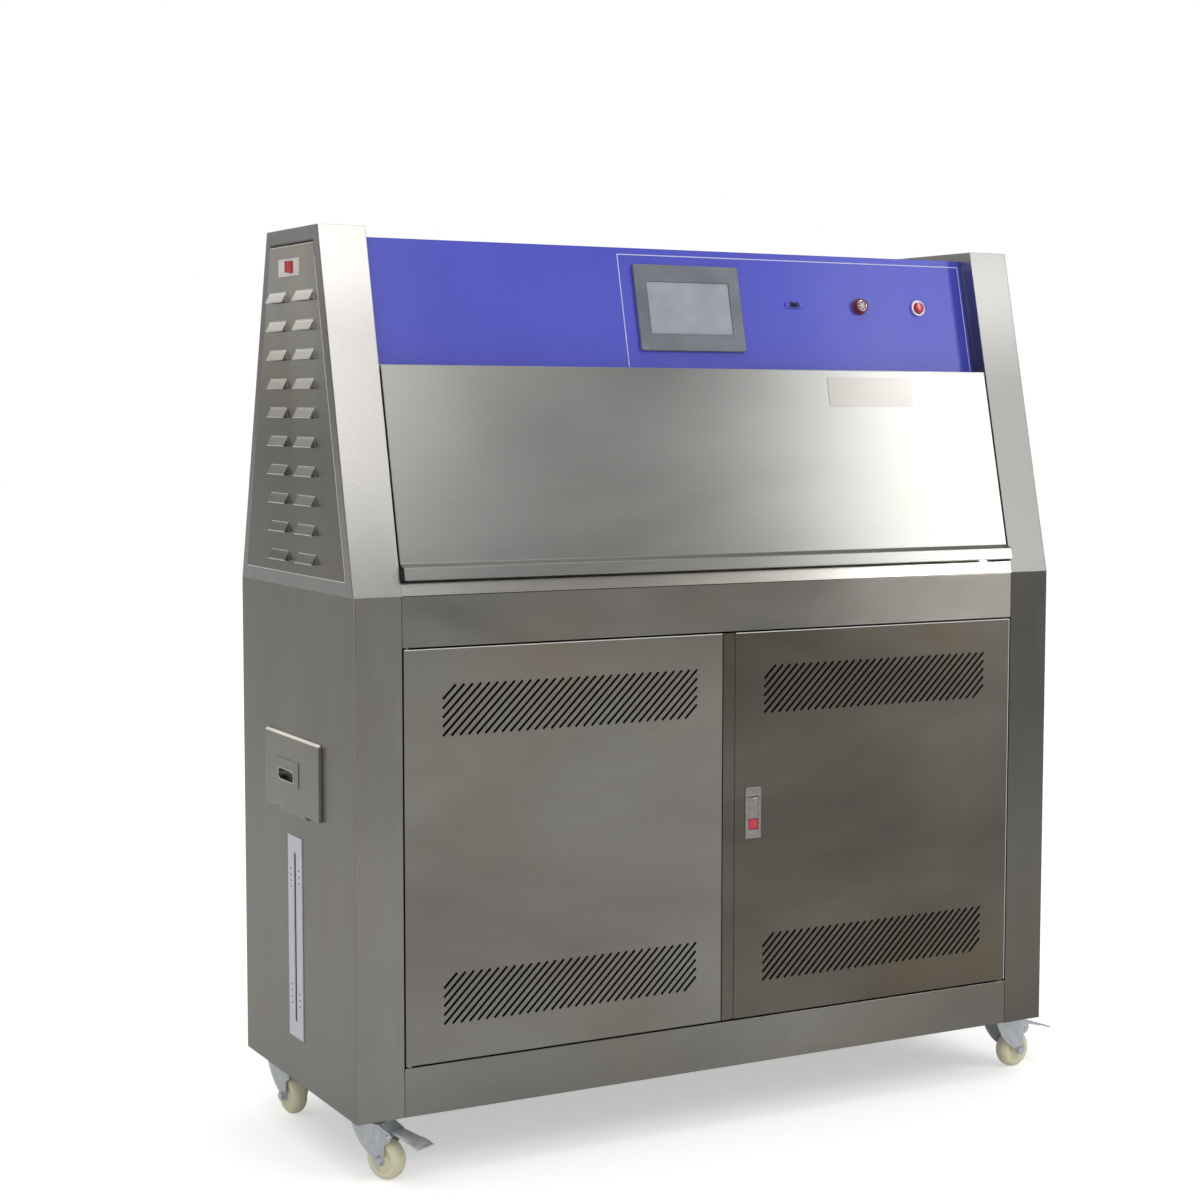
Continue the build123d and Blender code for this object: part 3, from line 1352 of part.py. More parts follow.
with BuildPart() as caster_top:
    with BuildSketch(Plane.XY.offset(floor_clearance)):
        RectangleRounded(caster_plate_length, caster_plate_width, 4 * caster_plate_sheet)
    extrude(amount=-caster_plate_sheet)
    with BuildSketch(Plane.XY.offset(floor_clearance - caster_plate_sheet)):
        with GridLocations(caster_plate_length - 18.0, caster_plate_width - 18.0, 2, 2):
            RegularPolygon(bolt_head_radius, 6)
    extrude(amount=-bolt_head)
    with BuildSketch(Plane.XZ):
        with BuildLine():
            shaft = kingpin_diameter / 2
            low = fork_top_z - fork_web - touch_gap
            Polyline((0, floor_clearance - caster_plate_sheet / 2),
                     (race_radius - 3.0, floor_clearance - caster_plate_sheet / 2),
                     (race_radius, fork_top_z + touch_gap), (shaft, fork_top_z + touch_gap),
                     (shaft, low), (pin_head_radius, low), (pin_head_radius, low - pin_head),
                     (0, low - pin_head), close=True)
        make_face()
    revolve(axis=Axis.Z)


with BuildPart() as fork:
    with BuildSketch(Plane.XY.offset(fork_top_z)):
        Circle(race_radius + 1.0)
        Rectangle(race_radius + 6.0, 2 * (fork_inner + fork_sheet), align=(Align.MIN, Align.CENTER))
        Rectangle(race_radius * 0.6, 2 * (fork_inner + fork_sheet), align=(Align.MAX, Align.CENTER))
    extrude(amount=-fork_web)
    with BuildSketch(Plane.XZ.offset(fork_inner), Plane.XZ.offset(-fork_inner - fork_sheet)):
        leg_foot = 9.5
        leg_start = (-race_radius - 1.0, fork_top_z)
        leg_heel = (caster_trail - leg_foot, wheel_radius + 2.0)
        with BuildLine():
            ThreePointArc(leg_start, ((leg_start[0] + leg_heel[0]) / 2 - 6.0,
                                      (leg_start[1] + leg_heel[1]) / 2 - 4.0), leg_heel)
            ThreePointArc(leg_heel, (caster_trail, wheel_radius - leg_foot),
                          (caster_trail + leg_foot, wheel_radius))
            Polyline((caster_trail + leg_foot, wheel_radius),
                     (caster_trail + leg_foot, pedal_pivot_z - 14.0),
                     (pedal_pivot_x + 4.0, pedal_pivot_z - 8.0), (pedal_pivot_x + 8.0, pedal_pivot_z),
                     (pedal_pivot_x + 3.0, pedal_pivot_z + 7.0), (race_radius + 6.0, fork_top_z),
                     leg_start)
        make_face()
    extrude(amount=fork_sheet)
    with Locations((0, 0, fork_top_z)):
        Hole(kingpin_diameter / 2 + running_clearance, depth=2 * fork_web)
    nut_reach = 6.0
    with BuildSketch(Plane.XZ.offset(-fork_inner - fork_sheet)):
        with Locations((caster_trail, wheel_radius)):
            RegularPolygon(7.0, 6)
    extrude(amount=-nut_reach)
    with BuildSketch(Plane.XZ.offset(fork_inner + fork_sheet)):
        with Locations((caster_trail, wheel_radius)):
            RegularPolygon(7.0, 6)
    extrude(amount=nut_reach)
    with BuildSketch(Plane.XZ):
        with Locations((caster_trail, wheel_radius)):
            Circle(axle_diameter / 2)
    extrude(amount=fork_inner + fork_sheet, both=True)
    with BuildSketch(Plane.XZ):
        with Locations((pedal_pivot_x, pedal_pivot_z)):
            Circle(pedal_pin_radius)
    extrude(amount=fork_inner + fork_sheet, both=True)

with BuildPart() as wheel:
    half = wheel_width / 2
    bore = axle_diameter / 2 + running_clearance
    flank = [(bore, -half), (hub_radius, -half), (hub_radius + hub_recess / 2, -half + hub_recess),
             (wheel_radius - 2 * tread_chamfer, -half + hub_recess * 0.8),
             (wheel_radius, -half + hub_recess + tread_chamfer)]
    with BuildSketch(Plane.XY):
        Polygon(*flank, *[(x, -y) for x, y in reversed(flank)])
    revolve(axis=Axis.Y)

with BuildPart() as pedal:
    arm = pedal_width / 2
    with BuildSketch(Plane.XZ):
        with BuildLine():
            tip = (pedal_reach, pedal_tip_z)
            Polyline((pedal_pivot_x - 4.0, pedal_pivot_z + 6.0), (pedal_pivot_x + 8.0, pedal_pivot_z + 8.0),
                     (pedal_reach - pedal_pad_top, pedal_tip_z + pedal_pad_rise), tip,
                     (pedal_reach, pedal_tip_z - pedal_sheet),
                     (pedal_reach - pedal_pad, pedal_tip_z + pedal_pad_rise - pedal_sheet),
                     (pedal_pivot_x + 8.0, pedal_pivot_z + 8.0 - pedal_sheet),
                     (pedal_pivot_x - 4.0, pedal_pivot_z + 6.0 - pedal_sheet), close=True)
        make_face()
    extrude(amount=arm, both=True)
    with BuildSketch(Plane.XY.offset(pedal_tip_z)):
        with BuildLine():
            Polyline((pedal_reach - pedal_pad, -arm), (pedal_reach, -pedal_tip_width / 2),
                     (pedal_reach, pedal_tip_width / 2), (pedal_reach - pedal_pad, arm), close=True)
        make_face()
    extrude(amount=pedal_sheet)
    with BuildSketch(Plane.XZ):
        with Locations((pedal_pivot_x, pedal_pivot_z)):
            Circle(pedal_pin_radius + 3.5)
        with BuildLine():
            Polyline((pedal_pivot_x - 4.0, pedal_pivot_z + 5.0), (pedal_pivot_x + 8.0, pedal_pivot_z + 7.0),
                     (pedal_pivot_x + 5.0, pedal_pivot_z), (pedal_pivot_x - 5.0, pedal_pivot_z),
                     close=True)
        make_face()
    extrude(amount=arm, both=True)
    with BuildSketch(Plane.XZ):
        with Locations((pedal_pivot_x, pedal_pivot_z)):
            Circle(pedal_pin_radius + running_clearance)
    extrude(amount=pedal_width, both=True, mode=Mode.SUBTRACT)

caster_places = {
    "front_left": (-caster_x, -caster_y, front_left_yaw),
    "front_right": (caster_x, -caster_y, front_right_yaw),
    "rear_left": (-caster_x, caster_y, rear_left_yaw),
    "rear_right": (caster_x, caster_y, rear_right_yaw),
}
with BuildPart() as caster_plates:
    for x, y, yaw in caster_places.values():
        with Locations((x, y, 0)):
            add(caster_top.part)
save(caster_plates, "caster_plates")

for place, (x, y, yaw) in caster_places.items():
    for template, kind in ((fork, "fork"), (pedal, "pedal")):
        with BuildPart() as piece:
            with Locations(Location((x, y, 0), (0, 0, yaw))):
                add(template.part)
        save(piece, f"caster_{kind}_{place}")
    with BuildPart() as piece:
        with Locations(Location((x + caster_trail * cos(radians(yaw)),
                                 y + caster_trail * sin(radians(yaw)), wheel_radius), (0, 0, yaw))):
            add(wheel.part)
    save(piece, f"caster_wheel_{place}")
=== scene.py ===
"""Looks of the weathering chamber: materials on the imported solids, fine pieces, light and camera."""

import logging
import math
from collections.abc import Callable
from dataclasses import dataclass, field
from enum import Enum

import bmesh
import bpy
from mathutils import Matrix, Vector

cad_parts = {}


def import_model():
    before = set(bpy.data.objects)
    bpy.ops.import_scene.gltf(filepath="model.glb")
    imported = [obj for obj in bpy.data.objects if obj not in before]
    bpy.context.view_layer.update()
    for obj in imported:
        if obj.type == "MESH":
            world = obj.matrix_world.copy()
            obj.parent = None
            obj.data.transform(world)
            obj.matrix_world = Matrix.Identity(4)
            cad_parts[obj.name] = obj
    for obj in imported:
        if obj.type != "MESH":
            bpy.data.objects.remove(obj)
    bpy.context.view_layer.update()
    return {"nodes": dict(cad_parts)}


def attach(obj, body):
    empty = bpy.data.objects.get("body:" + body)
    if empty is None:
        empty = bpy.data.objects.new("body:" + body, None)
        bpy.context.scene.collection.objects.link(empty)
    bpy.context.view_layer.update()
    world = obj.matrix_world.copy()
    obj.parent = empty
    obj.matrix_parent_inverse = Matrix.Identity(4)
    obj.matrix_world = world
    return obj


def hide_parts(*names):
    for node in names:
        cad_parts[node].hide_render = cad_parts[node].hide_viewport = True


MM = 0.001
LOG = logging.getLogger("chamber")


def linear(code: str) -> tuple[float, float, float, float]:
    """Turns an sRGB hex colour into the linear values that a shader takes.

    Args:
        code: Six hex digits after a hash sign.

    Returns:
        Red, green, blue and an alpha of one.
    """
    parts = [int(code[i:i + 2], 16) / 255 for i in (1, 3, 5)]
    red, green, blue = (c / 12.92 if c <= 0.04045 else ((c + 0.055) / 1.055) ** 2.4 for c in parts)
    return red, green, blue, 1.0


def add_node(tree: bpy.types.NodeTree, kind: str, links: dict | None = None,
             values: dict | None = None, **settings: object) -> bpy.types.Node:
    """Adds one node with its settings, values and incoming links.

    Args:
        tree: The node tree that gets the node.
        kind: The node's type name.
        links: Output sockets by the name or number of the input that they feed.
        values: Values by the name or number of the input.
        settings: The node's own properties.

    Returns:
        The new node.
    """
    node = tree.nodes.new(kind)
    for name, value in settings.items():
        setattr(node, name, value)
    for name, value in (values or {}).items():
        node.inputs[name].default_value = value
    for name, socket in (links or {}).items():
        tree.links.new(socket, node.inputs[name])
    return node


def fresh(name: str) -> tuple[bpy.types.Material, bpy.types.NodeTree, bpy.types.NodeSocket]:
    """Makes an empty node material.

    Args:
        name: The material's name.

    Returns:
        The material, its tree, and the object coordinates in metres.
    """
    material = bpy.data.materials.new(name)
    material.use_nodes = True
    tree = material.node_tree
    tree.nodes.clear()
    coords = add_node(tree, "ShaderNodeTexCoord").outputs["Object"]
    return material, tree, coords


def close(tree: bpy.types.NodeTree, shader: bpy.types.Node) -> None:
    """Joins a shader to the material's output."""
    add_node(tree, "ShaderNodeOutputMaterial", {"Surface": shader.outputs[0]})


class Grain(Enum):
    """Way the brushing runs on a sheet, as the squeeze of its pattern along X, Y and Z."""

    ACROSS = (0.025, 1.0, 1.0)
    UPRIGHT = (1.0, 1.0, 0.025)
    DEEP = (1.0, 0.025, 1.0)

    @property
    def direction(self) -> tuple[float, float, float]:
        """Direction of the brush lines."""
        return tuple(1.0 if squeeze < 1.0 else 0.0 for squeeze in self.value)


@dataclass(frozen=True)
class PaintedLightRamp:
    """Painted light and shade: a sheet's brightness changes slowly from one place to another along one axis.

    One that takes a millimetre or two at an outer face paints that face darker than its folds, as painted
    shade.
    """

    axis: int
    start_mm: float
    end_mm: float
    gain: float


@dataclass(frozen=True)
class BrushedSteel:
    """Austenitic stainless sheet, belt brushed at the mill, folded and spot welded.

    The eye gets a grey metal with a faint warm cast, broad soft reflections drawn out across the
    brushing, hazy hand-sized smudges, and folds that catch a thin line of light.
    """

    name: str
    grain: Grain
    tint: str = "#8B8985"
    haze_tint: str = "#989691"
    roughness: float = 0.30
    streak_mm: float = 1.6
    haze_mm: float = 190.0
    fold_mm: float = 1.4
    streak_depth: float = 0.05
    stretch: float = 0.5
    stain: float = 0.45
    stain_mm: float = 430.0
    # painted light and shade, as ramps of brightness along one axis
    painted_light_ramps: tuple[PaintedLightRamp, ...] = ()

    def build(self) -> bpy.types.Material:
        """Builds the material; the brushing is drawn at 1.6 mm, because real 0.1 mm scratches don't show."""
        material, tree, coords = fresh(self.name)
        squeeze = add_node(tree, "ShaderNodeMapping", {"Vector": coords}, {"Scale": self.grain.value})
        streaks = add_node(tree, "ShaderNodeTexNoise", {"Vector": squeeze.outputs[0]},
                           {"Scale": 1 / (self.streak_mm * MM), "Detail": 3.0, "Roughness": 0.65})
        loose = add_node(tree, "ShaderNodeMapping", {"Vector": coords},
                         {"Scale": tuple(0.35 + 0.65 * v for v in self.grain.value)})
        haze = add_node(tree, "ShaderNodeTexNoise", {"Vector": loose.outputs[0]},
                        {"Scale": 1 / (self.haze_mm * MM), "Detail": 4.0, "Roughness": 0.55,
                         "Distortion": 0.4})
        soft = add_node(tree, "ShaderNodeMapRange", {"Value": haze.outputs[0]},
                        {"From Min": 0.32, "From Max": 0.68})
        tint = add_node(tree, "ShaderNodeMix", {"Factor": soft.outputs[0]},
                        {6: linear(self.tint), 7: linear(self.haze_tint)}, data_type="RGBA")
        lined = add_node(tree, "ShaderNodeMapRange", {"Value": streaks.outputs[0]},
                         {"From Min": 0.3, "From Max": 0.7, "To Min": 1 - self.streak_depth,
                          "To Max": 1 + self.streak_depth})
        spots = add_node(tree, "ShaderNodeTexNoise", {"Vector": coords},
                         {"Scale": 1 / (self.stain_mm * MM), "Detail": 2.0, "Distortion": 0.6})
        warm = add_node(tree, "ShaderNodeMapRange", {"Value": spots.outputs[0]},
                        {"From Min": 0.42, "From Max": 0.68, "To Max": self.stain})
        stained = add_node(tree, "ShaderNodeMix", {"Factor": warm.outputs[0], 6: tint.outputs[2]},
                           {7: (1.0, 0.9, 0.76, 1.0)}, data_type="RGBA", blend_type="MULTIPLY")
        level = lined.outputs[0]
        place = add_node(tree, "ShaderNodeSeparateXYZ", {0: coords}).outputs
        # painted light and shade: each ramp scales the colour's brightness along one axis
        for painted_ramp in self.painted_light_ramps:
            painted_light_slide = add_node(tree, "ShaderNodeMapRange", {"Value": place[painted_ramp.axis]},
                             {"From Min": painted_ramp.start_mm * MM, "From Max": painted_ramp.end_mm * MM,
                              "To Min": 1.0, "To Max": painted_ramp.gain}, interpolation_type="SMOOTHSTEP")
            level = add_node(tree, "ShaderNodeMath", {0: level, 1: painted_light_slide.outputs[0]},
                             operation="MULTIPLY").outputs[0]
        colour = add_node(tree, "ShaderNodeVectorMath", {0: stained.outputs[2], "Scale": level},
                          operation="SCALE")
        dull = add_node(tree, "ShaderNodeMapRange", {"Value": haze.outputs[0]},
                        {"From Min": 0.3, "From Max": 0.7, "To Min": self.roughness - 0.03,
                         "To Max": self.roughness + 0.03})
        uneven = add_node(tree, "ShaderNodeMath", {0: streaks.outputs[0], 2: dull.outputs[0]},
                          {1: 0.03}, operation="MULTIPLY_ADD")
        folds = add_node(tree, "ShaderNodeBevel", None, {"Radius": self.fold_mm * MM}, samples=4)
        bump = add_node(tree, "ShaderNodeBump", {"Height": streaks.outputs[0], "Normal": folds.outputs[0]},
                        {"Strength": 0.03, "Distance": 0.00015})
        brushing = add_node(tree, "ShaderNodeVectorTransform", None, {0: self.grain.direction},
                            vector_type="VECTOR", convert_from="OBJECT", convert_to="WORLD")
        shader = add_node(tree, "ShaderNodeBsdfPrincipled",
                          {"Base Color": colour.outputs[0], "Roughness": uneven.outputs[0],
                           "Normal": bump.outputs[0], "Tangent": brushing.outputs[0]},
                          {"Metallic": 1.0, "Anisotropic": self.stretch, "Anisotropic Rotation": 0.25})
        close(tree, shader)
        return material


@dataclass(frozen=True)
class PressedMetal:
    """Small metal part, plated or cast, such as zinc plated pressings, turned brass and satin chrome.

    The eye gets a bright metal with cloudy plating, worn edges and a tighter reflection than sheet.
    """

    name: str
    tint: str
    worn_tint: str
    roughness: float
    cloud_mm: float = 9.0
    edge_mm: float = 0.6
    grit: float = 0.05
    metallic: float = 1.0

    def build(self) -> bpy.types.Material:
        """Builds the material, with clouds at their real size and grit drawn at 0.8 mm."""
        material, tree, coords = fresh(self.name)
        clouds = add_node(tree, "ShaderNodeTexNoise", {"Vector": coords},
                          {"Scale": 1 / (self.cloud_mm * MM), "Detail": 4.0, "Roughness": 0.6})
        grit = add_node(tree, "ShaderNodeTexNoise", {"Vector": coords},
                        {"Scale": 1 / (0.8 * MM), "Detail": 2.0})
        spread = add_node(tree, "ShaderNodeMapRange", {"Value": clouds.outputs[0]},
                          {"From Min": 0.35, "From Max": 0.65})
        tint = add_node(tree, "ShaderNodeMix", {"Factor": spread.outputs[0]},
                        {6: linear(self.tint), 7: linear(self.worn_tint)}, data_type="RGBA")
        dull = add_node(tree, "ShaderNodeMapRange", {"Value": clouds.outputs[0]},
                        {"From Min": 0.3, "From Max": 0.7, "To Min": max(0.05, self.roughness - 0.06),
                         "To Max": self.roughness + 0.08})
        edges = add_node(tree, "ShaderNodeBevel", None, {"Radius": self.edge_mm * MM}, samples=4)
        bump = add_node(tree, "ShaderNodeBump", {"Height": grit.outputs[0], "Normal": edges.outputs[0]},
                        {"Strength": self.grit * 2, "Distance": 0.0002})
        shader = add_node(tree, "ShaderNodeBsdfPrincipled",
                          {"Base Color": tint.outputs[2], "Roughness": dull.outputs[0],
                           "Normal": bump.outputs[0]}, {"Metallic": self.metallic})
        close(tree, shader)
        return material


@dataclass(frozen=True)
class Moulding:
    """Injection moulded plastic or sprayed enamel, with a faint texture and handling marks.

    The eye gets an even colour with soft patches where hands polish it and a fine grained sheen.
    """

    name: str
    tint: str
    patch_tint: str
    roughness: float
    ior: float = 1.5
    texture_mm: float = 0.9
    patch_mm: float = 30.0
    depth: float = 0.2
    coat: float = 0.0
    edge_mm: float = 0.5

    def build(self) -> bpy.types.Material:
        """Builds the material; moulded texture of 0.05 mm is drawn at 0.9 mm so that it shows."""
        material, tree, coords = fresh(self.name)
        patches = add_node(tree, "ShaderNodeTexNoise", {"Vector": coords},
                           {"Scale": 1 / (self.patch_mm * MM), "Detail": 3.0, "Roughness": 0.5})
        texture = add_node(tree, "ShaderNodeTexNoise", {"Vector": coords},
                           {"Scale": 1 / (self.texture_mm * MM), "Detail": 2.0})
        spread = add_node(tree, "ShaderNodeMapRange", {"Value": patches.outputs[0]},
                          {"From Min": 0.33, "From Max": 0.67})
        tint = add_node(tree, "ShaderNodeMix", {"Factor": spread.outputs[0]},
                        {6: linear(self.tint), 7: linear(self.patch_tint)}, data_type="RGBA")
        dull = add_node(tree, "ShaderNodeMapRange", {"Value": patches.outputs[0]},
                        {"From Min": 0.3, "From Max": 0.7, "To Min": max(0.03, self.roughness - 0.05),
                         "To Max": self.roughness + 0.06})
        edges = add_node(tree, "ShaderNodeBevel", None, {"Radius": self.edge_mm * MM}, samples=4)
        bump = add_node(tree, "ShaderNodeBump", {"Height": texture.outputs[0], "Normal": edges.outputs[0]},
                        {"Strength": self.depth, "Distance": 0.0001})
        shader = add_node(tree, "ShaderNodeBsdfPrincipled",
                          {"Base Color": tint.outputs[2], "Roughness": dull.outputs[0],
                           "Normal": bump.outputs[0]},
                          {"IOR": self.ior, "Coat Weight": self.coat, "Coat Roughness": 0.12})
        close(tree, shader)
        return material


@dataclass(frozen=True)
class ClearGlass:
    """Drawn glass or clear acrylic, with faint ripples and dust.

    The eye gets a thin bright edge, a soft tint and small wandering highlights.
    """

    name: str
    tint: str
    roughness: float = 0.06
    transmission: float = 0.85
    ripple_mm: float = 14.0

    def build(self) -> bpy.types.Material:
        """Builds the material, with drawing ripples 14 mm apart as on real tube."""
        material, tree, coords = fresh(self.name)
        ripple = add_node(tree, "ShaderNodeTexNoise", {"Vector": coords},
                          {"Scale": 1 / (self.ripple_mm * MM), "Detail": 3.0})
        dust = add_node(tree, "ShaderNodeMapRange", {"Value": ripple.outputs[0]},
                        {"From Min": 0.35, "From Max": 0.75, "To Min": self.roughness,
                         "To Max": self.roughness + 0.12})
        bump = add_node(tree, "ShaderNodeBump", {"Height": ripple.outputs[0]},
                        {"Strength": 0.1, "Distance": 0.0005})
        shader = add_node(tree, "ShaderNodeBsdfPrincipled",
                          {"Roughness": dust.outputs[0], "Normal": bump.outputs[0]},
                          {"Base Color": linear(self.tint), "IOR": 1.49,
                           "Transmission Weight": self.transmission})
        close(tree, shader)
        return material


@dataclass(frozen=True)
class PaleFloor:
    """Seamless white studio floor, matt paper, burnt out towards white where the camera sees it."""

    name: str = "pale floor"
    tint: str = "#F1F1F0"
    lift: float = 0.45

    def build(self) -> bpy.types.Material:
        """Builds the floor with faint half metre clouds in the paper."""
        material, tree, coords = fresh(self.name)
        clouds = add_node(tree, "ShaderNodeTexNoise", {"Vector": coords}, {"Scale": 2.0, "Detail": 2.0})
        dull = add_node(tree, "ShaderNodeMapRange", {"Value": clouds.outputs[0]},
                        {"To Min": 0.75, "To Max": 0.9})
        seen = add_node(tree, "ShaderNodeLightPath").outputs["Is Camera Ray"]
        lift = add_node(tree, "ShaderNodeMath", {0: seen}, {1: self.lift}, operation="MULTIPLY")
        shader = add_node(tree, "ShaderNodeBsdfPrincipled",
                          {"Roughness": dull.outputs[0], "Emission Strength": lift.outputs[0]},
                          {"Base Color": linear(self.tint), "Emission Color": (1, 1, 1, 1)})
        close(tree, shader)
        return material


class Stock:
    """All finishes of the chamber, each built once."""

    def __init__(self) -> None:
        """Builds every finish."""
        upright, across, deep = Grain.UPRIGHT, Grain.ACROSS, Grain.DEEP
        # Stainless sheet of the outer casing, brushed upright; broad vertical streaks in its sheen; its outer
        # side face is darker than its folds as painted shade
        self.casing = BrushedSteel("brushed stainless upright", upright,
                                   painted_light_ramps=(PaintedLightRamp(0, -648.6, -649.8, 0.84),)).build()
        # The same sheet on the right end, a little rougher, and darker as painted shade
        self.casing_right = BrushedSteel("brushed stainless right end", upright, "#686662", "#73716D",
                                         0.33).build()
        # Stainless sheet of the towers, a smoother side of the same stock whose brighter tint is partly a
        # painted highlight; painted light and shade make it darker from about 1 m up, brighter again near the
        # top, and darker on its outer face
        self.tower = BrushedSteel("brushed stainless tower", upright, "#BAB8B5", "#C9C7C4", 0.27,
                                  streak_depth=0.03, haze_mm=260.0, stretch=0.25, stain=0.1,
                                  painted_light_ramps=(PaintedLightRamp(2, 980.0, 1230.0, 0.82), PaintedLightRamp(2, 1280.0, 1430.0, 1.35),
                                          PaintedLightRamp(0, -648.4, -649.8, 0.6))).build()
        # The right tower's sheet, darker as painted shade, with painted light brightening it towards the top
        self.tower_right = BrushedSteel("brushed stainless right tower", upright, "#737270", "#7E7D7A", 0.3,
                                        haze_mm=260.0, stain=0.15,
                                        painted_light_ramps=(PaintedLightRamp(2, 1200.0, 1440.0, 1.9),)).build()
        # Louvred plates, the mill's plain side, with painted light brightening them towards the top and
        # painted shade darkening the hoods that stand out of the sheet
        self.louvre = BrushedSteel("brushed stainless louvre plate", upright, "#77756F", "#878580", 0.3,
                                   fold_mm=2.4, stain=0.7, stain_mm=300.0,
                                   painted_light_ramps=(PaintedLightRamp(2, 1080.0, 1420.0, 2.3), PaintedLightRamp(0, -650.3, -652.5, 0.66),
                                           PaintedLightRamp(0, 650.3, 652.5, 0.66))).build()
        # The hatch's sheet, with a painted highlight along its bevelled upper edge
        self.hatch = BrushedSteel("brushed stainless hatch", upright, "#8B8985", "#989691",
                                  painted_light_ramps=(PaintedLightRamp(2, 658.2, 659.6, 2.3),)).build()
        # Stainless sheet of beam, kick panel and covers, brushed along their length, with painted shade
        # darkening it towards the right
        self.rail = BrushedSteel("brushed stainless lengthwise", across, "#82807C", "#918F8A", 0.24,
                                 haze_mm=160.0, painted_light_ramps=(PaintedLightRamp(0, 150.0, 540.0, 0.76),)).build()
        # Sheet of the chamber's mouth frames, whose sill shows under the specimen door; its light tint is
        # partly a painted highlight, with more painted light towards the right
        self.sill = BrushedSteel("brushed stainless sill", across, "#B6B4B0", "#C1BFBA", 0.28, haze_mm=140.0,
                                 painted_light_ramps=(PaintedLightRamp(0, 120.0, 520.0, 1.6),)).build()
        # The beam's sheet, with a painted highlight brightening it towards its right end
        self.beam = BrushedSteel("brushed stainless beam", across, "#7E7C78", "#95938E", 0.22, haze_mm=150.0,
                                 painted_light_ramps=(PaintedLightRamp(0, 60.0, 480.0, 2.0),)).build()
        # Stainless sheet of the doors, brushed sideways with soft level blotches
        self.door = BrushedSteel("brushed stainless door", across, "#837F7A", "#9E9C96", 0.33,
                                 streak_depth=0.02, haze_mm=330.0, stain=0.7).build()
        # Near white, half matt: painted highlights on edges, lips, beads, hems and screw heads
        self.painted_highlight = PressedMetal("burnished edge", "#E6E6E4", "#F0F0EE", 0.4, 25.0, 0.3, 0.01,
                                      0.3).build()
        # The same stock on the right door, darker as painted shade and with a warmer stain of handling
        self.door_right = BrushedSteel("brushed stainless right door", across, "#595650", "#7A766F", 0.34,
                                       streak_depth=0.02, haze_mm=300.0, stain=0.9, stain_mm=380.0).build()
        # Stainless sheet of the specimen doors, a satin side that carries wide hazy reflections
        self.lid = BrushedSteel("satin stainless specimen door", across, "#929290", "#A1A19E", 0.29,
                                fold_mm=2.2, streak_depth=0.025, haze_mm=300.0, stretch=0.4,
                                stain=0.2).build()
        # Thin bare metal plate on the specimen door, a shade warmer than the door
        self.plate = BrushedSteel("bare plate", across, "#93908C", "#9B9894", 0.31, streak_depth=0.02,
                                  fold_mm=0.2, stain=0.05).build()
        # Stainless sheet inside, damp dulled
        self.inner = BrushedSteel("satin stainless chamber", deep, "#A0A09D", "#ADADAA", 0.36,
                                  haze_mm=120.0).build()
        # Printed polyester overlay on steel, satin royal blue with a fine orange peel
        self.blue = Moulding("printed overlay blue", "#444BC6", "#4D54CE", 0.42, 1.52, 1.6, 140.0, 0.35,
                             coat=0.12).build()
        # White printed aluminium plate of the water gauge, satin lacquered
        self.gauge = Moulding("printed gauge plate", "#C9CCD4", "#D2D5DC", 0.34, 1.5, 1.2, 45.0, 0.1).build()
        # Screen print in blue black ink on the gauge
        self.mark = Moulding("screen print blue black", "#4A4F6B", "#565B78", 0.5).build()
        # Open cell foam of the dust filters, matt and near black, dark enough to stand also for the shade
        # inside the slots
        self.foam = Moulding("dust filter foam", "#050505", "#0B0B0C", 0.95, 1.3, 2.5, 30.0, 1.0).build()
        # Screen print in white ink
        self.ink = Moulding("screen print white", "#D9DCF2", "#CDD1EE", 0.5).build()
        # ABS display housing, dark grey and semi gloss
        self.case = Moulding("moulded case grey", "#747980", "#7F848B", 0.22, 1.52, 1.1, 60.0).build()
        # Toughened display glass over a panel that is off
        self.screen = Moulding("display glass", "#A4AAB3", "#AFB5BE", 0.10, 1.52, 3.0, 40.0, 0.05,
                               coat=0.6).build()
        # Black moulded nylon
        self.black = Moulding("moulded black", "#17181A", "#1E1F22", 0.42).build()
        # Red polycarbonate cap, glossy
        self.red = Moulding("moulded red", "#C01A26", "#CB2330", 0.22, 1.58, coat=0.4, patch_mm=8.0).build()
        # Dark red polycarbonate of the buzzer body
        self.maroon = Moulding("moulded dark red", "#6C111D", "#7A1724", 0.28, 1.58, coat=0.3,
                               patch_mm=8.0).build()
        # White urea moulding of the breaker
        self.white = Moulding("moulded white", "#E4E4E1", "#ECECEA", 0.35).build()
        # Light grey fittings on the electrical plate
        self.grey = Moulding("moulded light grey", "#C3C4C2", "#CDCECC", 0.45).build()
        # Black silicone extrusion
        self.rubber = Moulding("silicone seal", "#1B1B1C", "#262627", 0.62, 1.43, 1.4, 20.0, 0.4).build()
        # Cream nylon wheel, turned after moulding
        self.nylon = Moulding("cream nylon", "#E9E3BD", "#F1EDD0", 0.34, 1.53, 1.2, 22.0, 0.3).build()
        # Machine blue enamel on cast iron
        self.enamel = Moulding("machine enamel", "#2C3C5C", "#354669", 0.33, 1.52, 2.2, 30.0, 0.5,
                               coat=0.3).build()
        # Grey enamel on the blower's scroll
        self.grey_enamel = Moulding("grey enamel", "#595B5F", "#64666A", 0.4, 1.52, 2.0, 30.0, 0.4).build()
        # Zinc plated pressed steel, blue passivated and slightly cloudy
        self.zinc = PressedMetal("zinc plated steel", "#BCC1C5", "#D0D4D7", 0.33, 16.0, grit=0.01,
                                 metallic=0.55).build()
        # Polished chrome ring
        self.chrome = PressedMetal("polished ring", "#D4D5D7", "#C4C6C9", 0.12, 12.0, 0.4, 0.02).build()
        # Satin anodised ring of the power button
        self.satin_ring = PressedMetal("satin anodised ring", "#DEDFE2", "#E8E9EC", 0.42, 12.0, 0.5,
                                       0.02).build()
